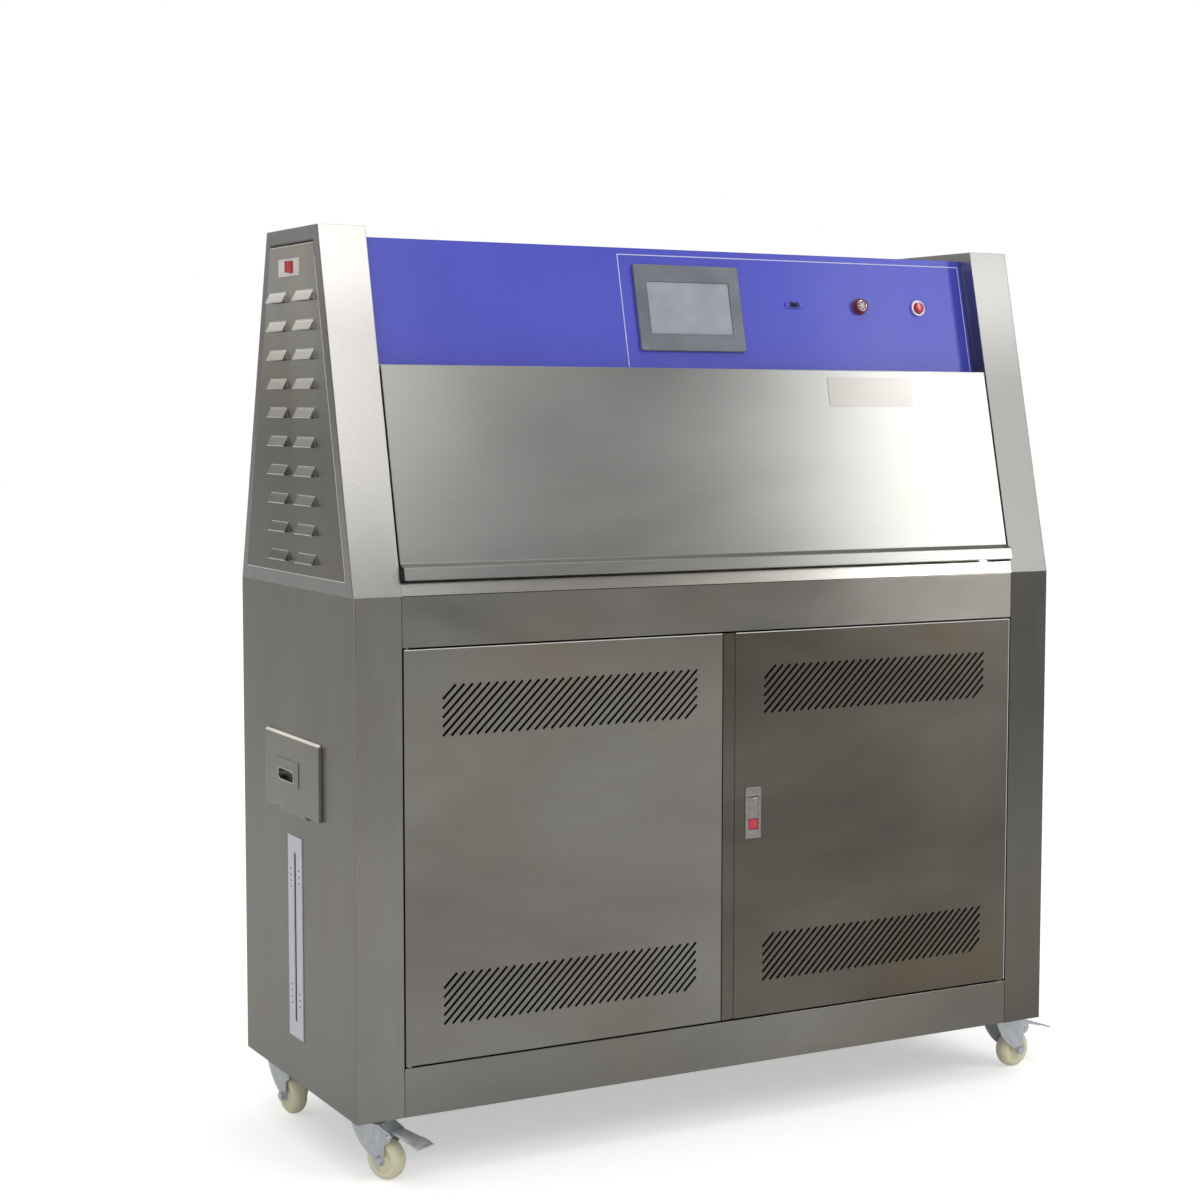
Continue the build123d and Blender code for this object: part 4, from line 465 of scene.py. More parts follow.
        # Satin chrome zinc casting of the latch
        self.satin = PressedMetal("satin chrome casting", "#8F8E8B", "#A1A09D", 0.28, 10.0, 0.9).build()
        # Bright pressed stainless cup
        self.nickel = PressedMetal("bright pressed cup", "#CFCFCD", "#DADAD8", 0.2, 14.0, 1.0).build()
        # Anodised aluminium specimen holders
        self.anodised = PressedMetal("anodised aluminium", "#B9BBBD", "#C6C8CA", 0.38, 25.0, 0.5).build()
        # Nickel alloy heater sheath, darkened by heat
        self.sheath = PressedMetal("oxidised sheath", "#5E5851", "#7A716A", 0.42, 12.0, 0.5).build()
        # Turned brass hose fittings
        self.brass = PressedMetal("turned brass", "#B08D4A", "#C4A25D", 0.28, 10.0, 0.5).build()
        # Phosphor coated lamp tube
        self.lamp = Moulding("phosphor coated glass", "#DCE0E6", "#E6E9EE", 0.16, 1.5, 4.0, 80.0, 0.05,
                             coat=0.8).build()
        # Acrylic gauge tube, dark because the tank behind it lets no light in
        self.clear = ClearGlass("gauge tube", "#1A1F22", 0.12, 0.25).build()


class Bench:
    """Modelling by hand: adds a start shape and works on the faces and edges picked by their place."""

    @staticmethod
    def clear() -> None:
        """Deselects everything, CAD nodes too."""
        bpy.ops.object.select_all(action="DESELECT")

    @staticmethod
    def only(piece: bpy.types.Object) -> None:
        """Selects one object alone and makes it the active one."""
        Bench.clear()
        piece.select_set(True)
        bpy.context.view_layer.objects.active = piece

    @staticmethod
    def rename(name: str) -> bpy.types.Object:
        """Names the object just added."""
        piece = bpy.context.active_object
        piece.name = piece.data.name = name
        return piece

    @staticmethod
    def block(name: str, low: tuple, high: tuple) -> bpy.types.Object:
        """Adds a block between two corners.

        Args:
            name: The piece's name.
            low: Lowest corner in millimetres.
            high: Highest corner in millimetres.

        Returns:
            The block, selected alone, to be shaped further.
        """
        Bench.clear()
        middle = [(a + b) / 2 * MM for a, b in zip(low, high)]
        size = [(b - a) * MM for a, b in zip(low, high)]
        bpy.ops.mesh.primitive_cube_add(size=1, location=middle, scale=size)
        piece = Bench.rename(name)
        bpy.ops.object.transform_apply(location=True, rotation=True, scale=True)
        return piece

    @staticmethod
    def pick(piece: bpy.types.Object, test: Callable[..., bool], mode: str = "FACE") -> int:
        """Opens edit mode with the faces or edges selected whose place passes a test.

        Args:
            piece: The object to work on.
            test: Called with a face's middle and normal, or with an edge's two ends.
            mode: FACE or EDGE.

        Returns:
            How many are selected.
        """
        Bench.only(piece)
        bpy.ops.object.mode_set(mode="EDIT")
        bpy.ops.mesh.select_mode(type=mode)
        bpy.ops.mesh.select_all(action="DESELECT")
        work = bmesh.from_edit_mesh(piece.data)
        chosen = 0
        if mode == "FACE":
            for face in work.faces:
                if test(face.calc_center_median() / MM, face.normal):
                    face.select_set(True)
                    chosen += 1
        else:
            for edge in work.edges:
                ends = [v.co / MM for v in edge.verts]
                if test(*ends):
                    edge.select_set(True)
                    chosen += 1
        bmesh.update_edit_mesh(piece.data)
        return chosen

    @staticmethod
    def done() -> None:
        """Leaves edit mode."""
        bpy.ops.object.mode_set(mode="OBJECT")

    @staticmethod
    def round_edges(piece: bpy.types.Object, width: float, steps: int = 2, angle: float = 40.0) -> None:
        """Rounds every sharp edge with a bevel modifier and applies it.

        Args:
            piece: The object to round.
            width: Width of the bevel in millimetres.
            steps: Segments of the bevel.
            angle: Least angle in degrees between the faces of a sharp edge.
        """
        Bench.only(piece)
        bevel = piece.modifiers.new("edges", "BEVEL")
        bevel.width, bevel.segments = width * MM, steps
        bevel.limit_method, bevel.angle_limit = "ANGLE", math.radians(angle)
        bpy.ops.object.modifier_apply(modifier=bevel.name)

    @staticmethod
    def smooth(piece: bpy.types.Object, angle: float = 35.0) -> None:
        """Shades the piece smooth except across sharp edges."""
        Bench.only(piece)
        bpy.ops.object.shade_smooth_by_angle(angle=math.radians(angle))

    @staticmethod
    def bar(name: str, low: tuple, high: tuple, edge: float, steps: int = 2) -> bpy.types.Object:
        """Makes a block and rounds its edges.

        Args:
            name: The piece's name.
            low: Lowest corner in millimetres.
            high: Highest corner in millimetres.
            edge: Width of the rounding in millimetres.
            steps: Segments of the rounding.

        Returns:
            The rounded bar.
        """
        piece = Bench.block(name, low, high)
        Bench.round_edges(piece, edge, steps)
        return piece

    @staticmethod
    def rim(name: str, low: tuple, high: tuple, wall: float, edge: float, steps: int) -> bpy.types.Object:
        """Cuts a block through along Z, which leaves a rim of one width.

        Args:
            name: The piece's name.
            low: Lowest corner in millimetres.
            high: Highest corner in millimetres.
            wall: Width of the rim in millimetres.
            edge: Width of the rounding in millimetres.
            steps: Segments of the rounding.

        Returns:
            The rim.
        """
        piece = Bench.block(name, low, high)
        Bench.pick(piece, lambda middle, normal: abs(normal.z) > 0.9)
        bpy.ops.mesh.inset(thickness=wall * MM)
        bpy.ops.mesh.bridge_edge_loops()
        Bench.done()
        Bench.round_edges(piece, edge, steps)
        return piece

    @staticmethod
    def pad(name: str, low: tuple, high: tuple, side: int, depth: float) -> bpy.types.Object:
        """Cuts a foam pad whose inner face is pressed in within a border of 9 mm.

        Args:
            name: The piece's name.
            low: Lowest corner in millimetres.
            high: Highest corner in millimetres.
            side: Way the pressed face looks along Y, -1 to the front and 1 to the rear.
            depth: How far that face is pressed in, in millimetres.

        Returns:
            The pad.
        """
        piece = Bench.block(name, low, high)
        Bench.pick(piece, lambda middle, normal: normal.y * side > 0.9)
        bpy.ops.mesh.inset(thickness=9 * MM)
        bpy.ops.transform.translate(value=(0, -side * depth * MM, 0))
        Bench.done()
        Bench.round_edges(piece, 1.2)
        return piece

    @staticmethod
    def turned(name: str, rings: list[tuple[float, float]], steps: int = 48,
               closed: bool = False) -> bpy.types.Object:
        """Turns a shape about Z by extruding and scaling a ring of edges along its outline.

        Args:
            name: The piece's name.
            rings: Radius and height of each ring in millimetres.
            steps: Points round the circle.
            closed: Joins the last ring to the first, for a shape with a bore.

        Returns:
            The turned shape, standing at the origin.
        """
        Bench.clear()
        radius, height = rings[0]
        bpy.ops.mesh.primitive_circle_add(vertices=steps, radius=radius * MM, location=(0, 0, 0),
                                          fill_type="NOTHING")
        piece = Bench.rename(name)
        bpy.ops.object.mode_set(mode="EDIT")
        bpy.ops.mesh.select_mode(type="EDGE")
        bpy.ops.mesh.select_all(action="SELECT")
        bpy.ops.transform.translate(value=(0, 0, height * MM))
        for next_radius, next_height in rings[1:] + ([rings[0]] if closed else []):
            move = (0, 0, (next_height - height) * MM)
            bpy.ops.mesh.extrude_region_move(TRANSFORM_OT_translate={"value": move})
            ratio = next_radius / radius
            bpy.ops.transform.resize(value=(ratio, ratio, 1), center_override=(0, 0, 0))
            radius, height = next_radius, next_height
        bpy.ops.mesh.select_all(action="SELECT")
        if closed:
            bpy.ops.mesh.remove_doubles(threshold=1e-6)
        else:
            bpy.ops.mesh.fill_holes(sides=0)
        bpy.ops.mesh.select_all(action="SELECT")
        bpy.ops.mesh.normals_make_consistent(inside=False)
        bpy.ops.object.mode_set(mode="OBJECT")
        Bench.smooth(piece)
        return piece

    @staticmethod
    def place(piece: bpy.types.Object, where: Matrix) -> bpy.types.Object:
        """Moves a finished shape to its place and puts the place into its mesh."""
        Bench.only(piece)
        piece.matrix_world = where
        bpy.ops.object.transform_apply(location=True, rotation=True, scale=True)
        return piece

    @staticmethod
    def copy(piece: bpy.types.Object, name: str, where: Matrix) -> bpy.types.Object:
        """Copies a shape with its own mesh and places the copy.

        Args:
            piece: The shape to copy, standing at the origin.
            name: The copy's name.
            where: The copy's place in metres.

        Returns:
            The placed copy.
        """
        Bench.only(piece)
        bpy.ops.object.duplicate(linked=False)
        return Bench.place(Bench.rename(name), where)

    @staticmethod
    def join(name: str, pieces: list[bpy.types.Object]) -> bpy.types.Object:
        """Joins finished shapes into one piece."""
        Bench.clear()
        for piece in pieces:
            piece.select_set(True)
        bpy.context.view_layer.objects.active = pieces[0]
        bpy.ops.object.join()
        return Bench.rename(name)

    @staticmethod
    def discard(piece: bpy.types.Object) -> None:
        """Removes a pattern shape that has been copied."""
        bpy.data.objects.remove(piece)


def at(x: float, y: float, z: float) -> Matrix:
    """Gives a place in millimetres as a matrix."""
    return Matrix.Translation(Vector((x, y, z)) * MM)


def facing(place: Vector, outward: Vector, up: Vector) -> Matrix:
    """Gives the place of a shape whose Z looks outward and whose Y looks up.

    Args:
        place: Origin in millimetres.
        outward: Direction of the shape's Z.
        up: Direction of the shape's Y.

    Returns:
        The placing matrix in metres.
    """
    z = outward.normalized()
    x = up.cross(z).normalized()
    y = z.cross(x)
    turn = Matrix((x, y, z)).transposed().to_4x4()
    return Matrix.Translation(place * MM) @ turn


@dataclass(frozen=True)
class Slope:
    """Sloped face between deck and top, at the front (-1) or at the rear (+1)."""

    side: int
    half_depth: float = 250.0
    deck: float = 900.0
    setback: float = 135.0
    rise: float = 560.0

    @property
    def up(self) -> Vector:
        """Direction up the slope."""
        return Vector((0, -self.side * self.setback, self.rise)).normalized()

    @property
    def outward(self) -> Vector:
        """Direction out of the slope."""
        return Vector((0, self.side * self.rise, self.setback)).normalized()

    def point(self, x: float, along: float, off: float) -> Vector:
        """Gives a point by its X, its distance up the slope and its distance off it."""
        foot = Vector((x, self.side * self.half_depth, self.deck))
        return foot + self.up * along + self.outward * off

    def facing(self, x: float, along: float, off: float) -> Matrix:
        """Gives the place of a shape that stands out of the slope."""
        return facing(self.point(x, along, off), self.outward, self.up)


FRONT = Slope(-1)
REAR = Slope(1, setback=140.0)


@dataclass
class Assembly:
    """What every sub-assembly of the chamber shares."""

    stock: Stock
    nodes: dict[str, bpy.types.Object]
    made: list[str] = field(default_factory=list)

    def dress(self, finish: bpy.types.Material, *names: str) -> None:
        """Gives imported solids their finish."""
        for name in names:
            materials = self.nodes[name].data.materials
            materials.clear()
            materials.append(finish)

    def add(self, piece: bpy.types.Object, body: str, finish: bpy.types.Material, slot: str,
            *replaced: str) -> bpy.types.Object:
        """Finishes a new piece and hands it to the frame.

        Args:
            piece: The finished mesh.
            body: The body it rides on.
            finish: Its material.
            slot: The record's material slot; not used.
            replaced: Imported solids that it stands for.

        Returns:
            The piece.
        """
        piece.data.materials.clear()
        piece.data.materials.append(finish)
        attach(piece, body)
        if replaced:
            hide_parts(*replaced)
        self.made.append(piece.name)
        LOG.info("piece %s rides on %s", piece.name, body)
        return piece


@dataclass
class Casing(Assembly):
    """Outer sheet metal: side panels, beam, kick panel, towers and their louvred plates."""

    screw_radius: float = 2.4
    rear_screw_pitch: float = 215.0
    rear_screw_heights: tuple[float, float] = (120.0, 880.0)
    rear_screw_y: float = 248.0
    filter_x: float = 380.0
    filter_half: float = 150.0
    hood_columns: tuple[float, float] = (-60.0, 60.0)
    first_hood: float = 1355.0
    hood_pitch: float = 45.2
    hood_rows: int = 10

    def build(self) -> None:
        """Dresses the casing and adds its screws, filter pads, rolled lips and beads."""
        self.dress(self.stock.casing, "side_panel_left", "rear_panel")
        self.dress(self.stock.casing_right, "side_panel_right")
        self.dress(self.stock.tower, "tower_left")
        self.dress(self.stock.tower_right, "tower_right")
        self.dress(self.stock.louvre, "louvre_panel_left", "louvre_panel_right")
        self.dress(self.stock.beam, "front_beam")
        self.dress(self.stock.rail, "kick_panel", "top_cover", "base_tray")
        self.dress(self.stock.inner, "deck_plate")
        self.dress(self.stock.satin, "top_brackets")
        self.rear_screws()
        self.filters()
        for side, name in ((-1, "left"), (1, "right")):
            self.hood_lips(side, name)
            self.plate_beads(side, name)

    def hood_lips(self, side: int, name: str) -> None:
        """Rolls a lip along the lower edge and a crease along the root of one tower's hoods, both near white
        as painted highlights.

        Args:
            side: -1 for the left tower and 1 for the right one.
            name: The tower's name.
        """
        spots = [(y, self.first_hood - self.hood_pitch * row)
                 for y in self.hood_columns for row in range(self.hood_rows)]
        lip = Bench.block("hood_lip", (-0.8, -38.0, -0.75), (0.8, 38.0, 0.75))
        Bench.pick(lip, lambda middle, normal: abs(normal.y) > 0.9)
        bpy.ops.mesh.inset(thickness=0.3 * MM)
        Bench.done()
        Bench.round_edges(lip, 0.45, 3)
        lips = [Bench.copy(lip, "hood_lip", at(side * 657.1, y, z - 7.5)) for y, z in spots]
        Bench.discard(lip)
        crease = Bench.bar("hood_crease", (-0.5, -37.0, -0.5), (0.5, 37.0, 0.5), 0.3)
        lips += [Bench.copy(crease, "hood_lip", at(side * 650.5, y, z + 7.3)) for y, z in spots]
        Bench.discard(crease)
        self.add(Bench.join(f"hood_lips_{name}", lips), "cabinet", self.stock.painted_highlight, "casing_steel")

    def plate_beads(self, side: int, name: str) -> None:
        """Lays near white beads along a louvre plate's foot and front edge as painted highlights, and a black
        strip over it as painted shade.

        Args:
            side: -1 for the left tower and 1 for the right one.
            name: The tower's name.
        """
        foot = Bench.bar("plate_bead", (-0.6, -221.5, -0.6), (0.6, 221.5, 0.6), 0.4, 3)
        Bench.place(foot, at(side * 650.2, 0, 921.4))
        edge = Bench.bar("plate_bead", (-0.6, -0.6, 0), (0.6, 0.6, 505.0), 0.4, 3)
        lean = Matrix.Rotation(-math.atan2(FRONT.setback, FRONT.rise), 4, "X")
        Bench.place(edge, at(side * 650.2, -221.8, 922.5) @ lean)
        self.add(Bench.join(f"plate_beads_{name}", [foot, edge]), "cabinet", self.stock.painted_highlight,
                 "casing_steel")
        # painted shade: a black strip in the plate's slot, where the ledge behind would show bright
        strip = Bench.bar(f"plate_slot_shade_strip_{name}", (-0.9, -97.0, -1.8), (0.9, 92.0, 1.8), 0.3)
        Bench.place(strip, at(side * 649.0, 0, 1436.0))
        self.add(strip, "cabinet", self.stock.rubber, "black_plastic")

    def filters(self) -> None:
        """Lays near black dust filter pads behind the two slot fields of the rear panel, which also stand for
        the shade inside the slots.
        """
        for side, name in ((-1, "left"), (1, "right")):
            x = side * self.filter_x
            pad = Bench.pad(f"rear_filter_{name}", (x - self.filter_half, 238.0, 545.0),
                            (x + self.filter_half, 245.6, 735.0), -1, 2.5)
            self.add(pad, "cabinet", self.stock.foam, "black_plastic")

    def rear_screws(self) -> None:
        """Puts pan head screws round the rear panel."""
        r = self.screw_radius
        head = Bench.turned("pan_head", [(r, 0), (r, 0.5), (r * 0.86, 1.1), (r * 0.5, 1.45),
                                         (r * 0.46, 1.1), (r * 0.2, 1.0)], 16)
        screws = []
        for x in [self.rear_screw_pitch * n for n in (-2.5, -1.5, -0.5, 0.5, 1.5, 2.5)]:
            for z in self.rear_screw_heights:
                spot = facing(Vector((x, self.rear_screw_y, z)), Vector((0, 1, 0)), Vector((0, 0, 1)))
                screws.append(Bench.copy(head, "rear_screw", spot))
        Bench.discard(head)
        self.add(Bench.join("rear_panel_screws", screws), "cabinet", self.stock.zinc, "zinc_plate")


@dataclass
class ControlPanel(Assembly):
    """Blue control panel with display, data socket, buzzer and power button."""

    recess: float = 35.0
    control_along: float = 480.25
    display_x: float = 4.0
    display_along: float = 468.25
    usb_x: float = 211.0
    buzzer_x: float = 345.0
    power_x: float = 468.0
    border_low: tuple[float, float] = (-121.0, 367.4)
    border_high: tuple[float, float] = (567.0, 559.0)
    border_line: float = 1.7

    def build(self) -> None:
        """Dresses the panel and models what stands on it."""
        self.dress(self.stock.blue, "control_panel")
        self.dress(self.stock.case, "display_bezel")
        self.dress(self.stock.screen, "display_screen")
        self.dress(self.stock.blue, "usb_socket")
        self.dress(self.stock.black, "buzzer")
        self.border()
        self.display_rim()
        self.socket()
        self.buzzer()
        self.power()

    def border(self) -> None:
        """Prints the thin white line round the controls."""
        (x0, s0), (x1, s1) = self.border_low, self.border_high
        Bench.clear()
        bpy.ops.mesh.primitive_plane_add(size=1, location=((x0 + x1) / 2 * MM, (s0 + s1) / 2 * MM, 0),
                                         scale=(1, 1, 1))
        line = Bench.rename("panel_border_line")
        line.scale = ((x1 - x0) * MM, (s1 - s0) * MM, 1)
        bpy.ops.object.transform_apply(location=True, rotation=True, scale=True)
        Bench.pick(line, lambda middle, normal: True)
        bpy.ops.mesh.inset(thickness=self.border_line * MM)
        bpy.ops.mesh.delete(type="FACE")
        Bench.done()
        Bench.pick(line, lambda middle, normal: middle.y < s0 + self.border_line)
        bpy.ops.mesh.delete(type="FACE")
        bpy.ops.mesh.select_all(action="SELECT")
        bpy.ops.mesh.extrude_region_move(TRANSFORM_OT_translate={"value": (0, 0, 0.12 * MM)})
        bpy.ops.mesh.select_all(action="SELECT")
        bpy.ops.mesh.normals_make_consistent(inside=False)
        Bench.done()
        Bench.place(line, FRONT.facing(0, 0, 0.02 - self.recess))
        self.add(line, "cabinet", self.stock.ink, "white_plastic")

    def display_rim(self) -> None:
        """Frames the glass with the raised rim of its housing."""
        rim = Bench.rim("display_rim", (-80.5, -46.5, 6.0), (80.5, 46.5, 6.35), 2.4, 0.15, 1)
        Bench.place(rim, FRONT.facing(self.display_x, self.display_along, -self.recess))
        self.add(rim, "cabinet", self.stock.case, "display_case")

    def socket(self) -> None:
        """Adds the shell, the tongue and the two screw heads of the data socket."""
        where = FRONT.facing(self.usb_x, self.control_along, -self.recess)
        tongue = Bench.bar("usb_tongue", (-5.4, -0.2, -3.0), (5.4, 1.4, 1.4), 0.3)
        shell = Bench.rim("usb_shell", (-9.6, -4.4, 2.02), (9.6, 4.4, 2.9), 2.1, 0.25, 2)
        parts = [Bench.place(piece, where) for piece in (shell, tongue)]
        self.add(Bench.join("usb_shell", parts), "cabinet", self.stock.black, "black_plastic")
        heads = []
        for side in (-1, 1):
            head = Bench.turned("socket_screw", [(2.5, 0), (2.5, 0.3), (1.9, 1.0), (1.0, 1.25), (0.9, 0.7),
                                                 (0.2, 0.6)], 20)
            where = FRONT.facing(self.usb_x + side * 13.0, self.control_along, 2.0 - self.recess)
            heads.append(Bench.place(head, where))
        # painted highlight: near white screw heads
        self.add(Bench.join("usb_screws", heads), "cabinet", self.stock.painted_highlight, "bright_ring")

    def buzzer(self) -> None:
        """Turns the buzzer: dark red barrel, bright ring, and a face with six ribs round a boss."""
        where = FRONT.facing(self.buzzer_x, self.control_along, -self.recess)
        barrel = Bench.turned("buzzer_barrel", [(14.4, 0.1), (14.4, 2.4), (13.6, 3.4), (12.9, 3.6),
                                                (12.7, 9.6), (12.2, 10.8), (11.2, 11.5), (9.9, 11.6),
                                                (9.6, 10.6), (0.4, 10.6)], 56)
        self.add(Bench.place(barrel, where), "cabinet", self.stock.maroon, "red_plastic", "buzzer")
        ring = Bench.turned("buzzer_ring", [(9.5, 10.2), (9.5, 11.5), (8.9, 11.95), (8.0, 11.7), (7.8, 10.2)],
                            48, closed=True)
        self.add(Bench.place(ring, where), "cabinet", self.stock.chrome, "bright_ring")
        ribs = []
        for turn in range(6):
            rib = Bench.bar("buzzer_rib", (2.6, -0.9, 10.4), (7.9, 0.9, 11.5), 0.35)
            ribs.append(Bench.place(rib, where @ Matrix.Rotation(math.radians(60 * turn), 4, "Z")))
        boss = Bench.turned("buzzer_boss", [(3.4, 10.4), (3.4, 11.3), (2.6, 11.8), (0.3, 11.9)], 32)
        ribs.append(Bench.place(boss, where))
        self.add(Bench.join("buzzer_face", ribs), "cabinet", self.stock.grey, "white_plastic")

    def power(self) -> None:
        """Turns the bright ring and the dished red cap of the power button."""
        where = FRONT.facing(self.power_x, self.control_along, -self.recess)
        ring = Bench.turned("power_ring", [(14.5, 0.05), (14.5, 3.0), (14.0, 4.3), (13.0, 4.95), (11.2, 4.9),
                                           (10.2, 4.3), (9.9, 3.6), (9.9, 0.05)], 56, closed=True)
        self.add(Bench.place(ring, where), "cabinet", self.stock.satin_ring, "bright_ring", "power_bezel")
        cap = Bench.turned("power_button_cap", [(9.5, -2.0), (9.5, 7.3), (9.1, 8.0), (8.4, 8.3),
                                                (7.5, 8.05), (4.5, 7.75), (0.4, 7.65)], 56)
        self.add(Bench.place(cap, where), "power_push", self.stock.red, "red_plastic", "power_cap")


@dataclass
class Cupboard(Assembly):
    """Two vented doors with their latch."""

    filter_half: float = 232.0
    filter_back: float = -237.0
    filter_front: float = -244.4
    hem_front: float = -250.8
    hem_back: float = -249.6
    door_top: float = 819.0
    pin_x: float = 562.0
    pin_y: float = -244.0

    def build(self) -> None:
        """Dresses the doors and the latch and adds pins, filter pads and hems."""
        self.dress(self.stock.door, "door_left")
        self.dress(self.stock.door_right, "door_right")
        self.dress(self.stock.satin, "latch_frame", "latch_lever")
        self.dress(self.stock.red, "latch_button")
        self.pins()
        self.filters()
        self.hems()

    def hems(self) -> None:
        """Folds a narrow near white hem along the doors' upper edges and the right door's hinge edge, as a
        painted highlight.
        """
        front, back, top = self.hem_front, self.hem_back, self.door_top
        bars = {"left": [((-568.6, front, top - 1.3), (-12.4, back, top + 0.1))],
                "right": [((13.2, front, top - 1.3), (568.6, back, top + 0.1)),
                          ((567.7, front, 179.4), (568.8, back, top))]}
        for name, ends in bars.items():
            hems = [Bench.bar("door_hem", low, high, 0.45, 3) for low, high in ends]
            piece = Bench.join(f"door_hem_{name}", hems)
            self.add(piece, f"cabinet_door_{name}", self.stock.painted_highlight, "door_steel")

    def filters(self) -> None:
        """Lays a near black dust filter pad behind each slanted slot field, which also stands for the shade
        inside the slots.
        """
        for name, middle in (("left", -282.5), ("right", 288.0)):
            for place, low, high in (("upper", 680.0, 769.0), ("lower", 231.0, 321.0)):
                pad = Bench.pad(f"{place}_filter_{name}", (middle - self.filter_half, self.filter_front, low),
                                (middle + self.filter_half, self.filter_back, high), 1, 2.0)
                self.add(pad, f"cabinet_door_{name}", self.stock.foam, "black_plastic")

    def pins(self) -> None:
        """Adds a capped pin at the top of each door."""
        for side, name in ((-1, "left"), (1, "right")):
            pin = Bench.turned(f"door_pin_{name}", [(2.9, 0), (2.9, 2.3), (2.2, 2.8), (0.4, 2.9)], 24)
            Bench.place(pin, at(side * self.pin_x, self.pin_y, self.door_top))
            self.add(pin, f"cabinet_door_{name}", self.stock.zinc, "zinc_plate")


@dataclass
class SpecimenDoors(Assembly):
    """Sloped doors at front and rear with their seals and the front one's bare plate."""

    plate_low: tuple[float, float] = (237.0, 295.0)
    plate_high: tuple[float, float] = (409.0, 345.0)

    def build(self) -> None:
        """Dresses the doors and adds the bare plate."""
        self.dress(self.stock.lid, "front_door", "rear_door")
        self.dress(self.stock.rubber, "door_seals")
        (x0, s0), (x1, s1) = self.plate_low, self.plate_high
        plate = Bench.block("front_door_bare_plate", (x0, s0, 0.02), (x1, s1, 0.25))
        Bench.pick(plate, lambda middle, normal: normal.z > 0.9)
        bpy.ops.mesh.inset(thickness=1.2 * MM)
        bpy.ops.transform.translate(value=(0, 0, 0.03 * MM))
        Bench.done()
        Bench.round_edges(plate, 0.06, 1)
        Bench.place(plate, FRONT.facing(0, 0, 0))
        self.add(plate, "chamber_door_front", self.stock.plate, "door_steel")


@dataclass
class Chamber(Assembly):
    """Inside of the chamber: frames, rails, holders, lamps and the heated pan."""

    def build(self) -> None:
        """Dresses the inside and seals the joint under the front sill."""
        self.dress(self.stock.sill, "chamber_frames")
        self.dress(self.stock.inner, "chamber_ceiling", "water_pan", "holder_rails")
        seam = Bench.bar("sill_seam", (-570.5, -250.3, 899.5), (570.5, -249.8, 900.5), 0.2)
        self.add(seam, "cabinet", self.stock.rubber, "seal_rubber")
        self.dress(self.stock.anodised, "specimen_holders")
        self.dress(self.stock.lamp, "uv_lamps")
        self.dress(self.stock.white, "lamp_sockets")
        self.dress(self.stock.sheath, "pan_heater")


@dataclass
class WaterSide(Assembly):
    """Fill hatch, gauge and tank in the left side, and the mains breaker above them."""

    gauge_y: float = 6.0
    gauge_low: float = 174.0
    gauge_high: float = 501.0
    gauge_face: float = -651.5
    mark_drops: tuple[float, ...] = (54.0, 64.0, 74.0, 84.0)
    cup_centre: tuple[float, float, float] = (-657.2, 26.0, 597.0)
    cup_stretch: float = 26.5

    def build(self) -> None:
        """Dresses the water parts and the breaker."""
        self.dress(self.stock.hatch, "fill_flap", "flap_pull")
        self.dress(self.stock.gauge, "gauge_plate")
        self.dress(self.stock.clear, "sight_tube")
        self.dress(self.stock.inner, "water_tank")
        self.dress(self.stock.white, "breaker_body")
        self.dress(self.stock.red, "breaker_toggle")
        self.ticks()
        self.cup_rim()

    def cup_rim(self) -> None:
        """Presses the bright rim round the hatch's finger cup, a turned ring drawn out sideways."""
        rim = Bench.turned("hatch_cup_rim", [(8.5, 0.02), (8.5, 0.7), (8.9, 1.1), (9.8, 1.1), (10.3, 0.7),
                                             (10.3, 0.02)], 48, closed=True)
        Bench.place(rim, Matrix.Rotation(math.pi / 48, 4, "Z"))
        for side in (-1, 1):
            Bench.pick(rim, lambda middle, normal: side * middle.x > 0.3 and abs(middle.x) < 11.0)
            bpy.ops.transform.translate(value=(side * self.cup_stretch * MM, 0, 0))
            Bench.done()
        Bench.place(rim, facing(Vector(self.cup_centre), Vector((-1, 0, 0)), Vector((0, 0, 1))))
        self.add(rim, "fill_hatch", self.stock.nickel, "pull_nickel")

    def ticks(self) -> None:
        """Prints the level marks beside the gauge slot, three and four near each end."""
        marks = []
        face = self.gauge_face
        for drop in self.mark_drops:
            for z in (self.gauge_high - drop, self.gauge_low + drop):
                for side in (-1, 1):
                    if side < 0 and drop == self.mark_drops[-1]:
                        continue
                    y = self.gauge_y + side * 17.5
                    marks.append(Bench.bar("gauge_mark", (face - 0.12, y - 3.0, z - 1.0),
                                           (face, y + 3.0, z + 1.0), 0.05, 1))
        self.add(Bench.join("gauge_level_marks", marks), "cabinet", self.stock.mark, "black_plastic")


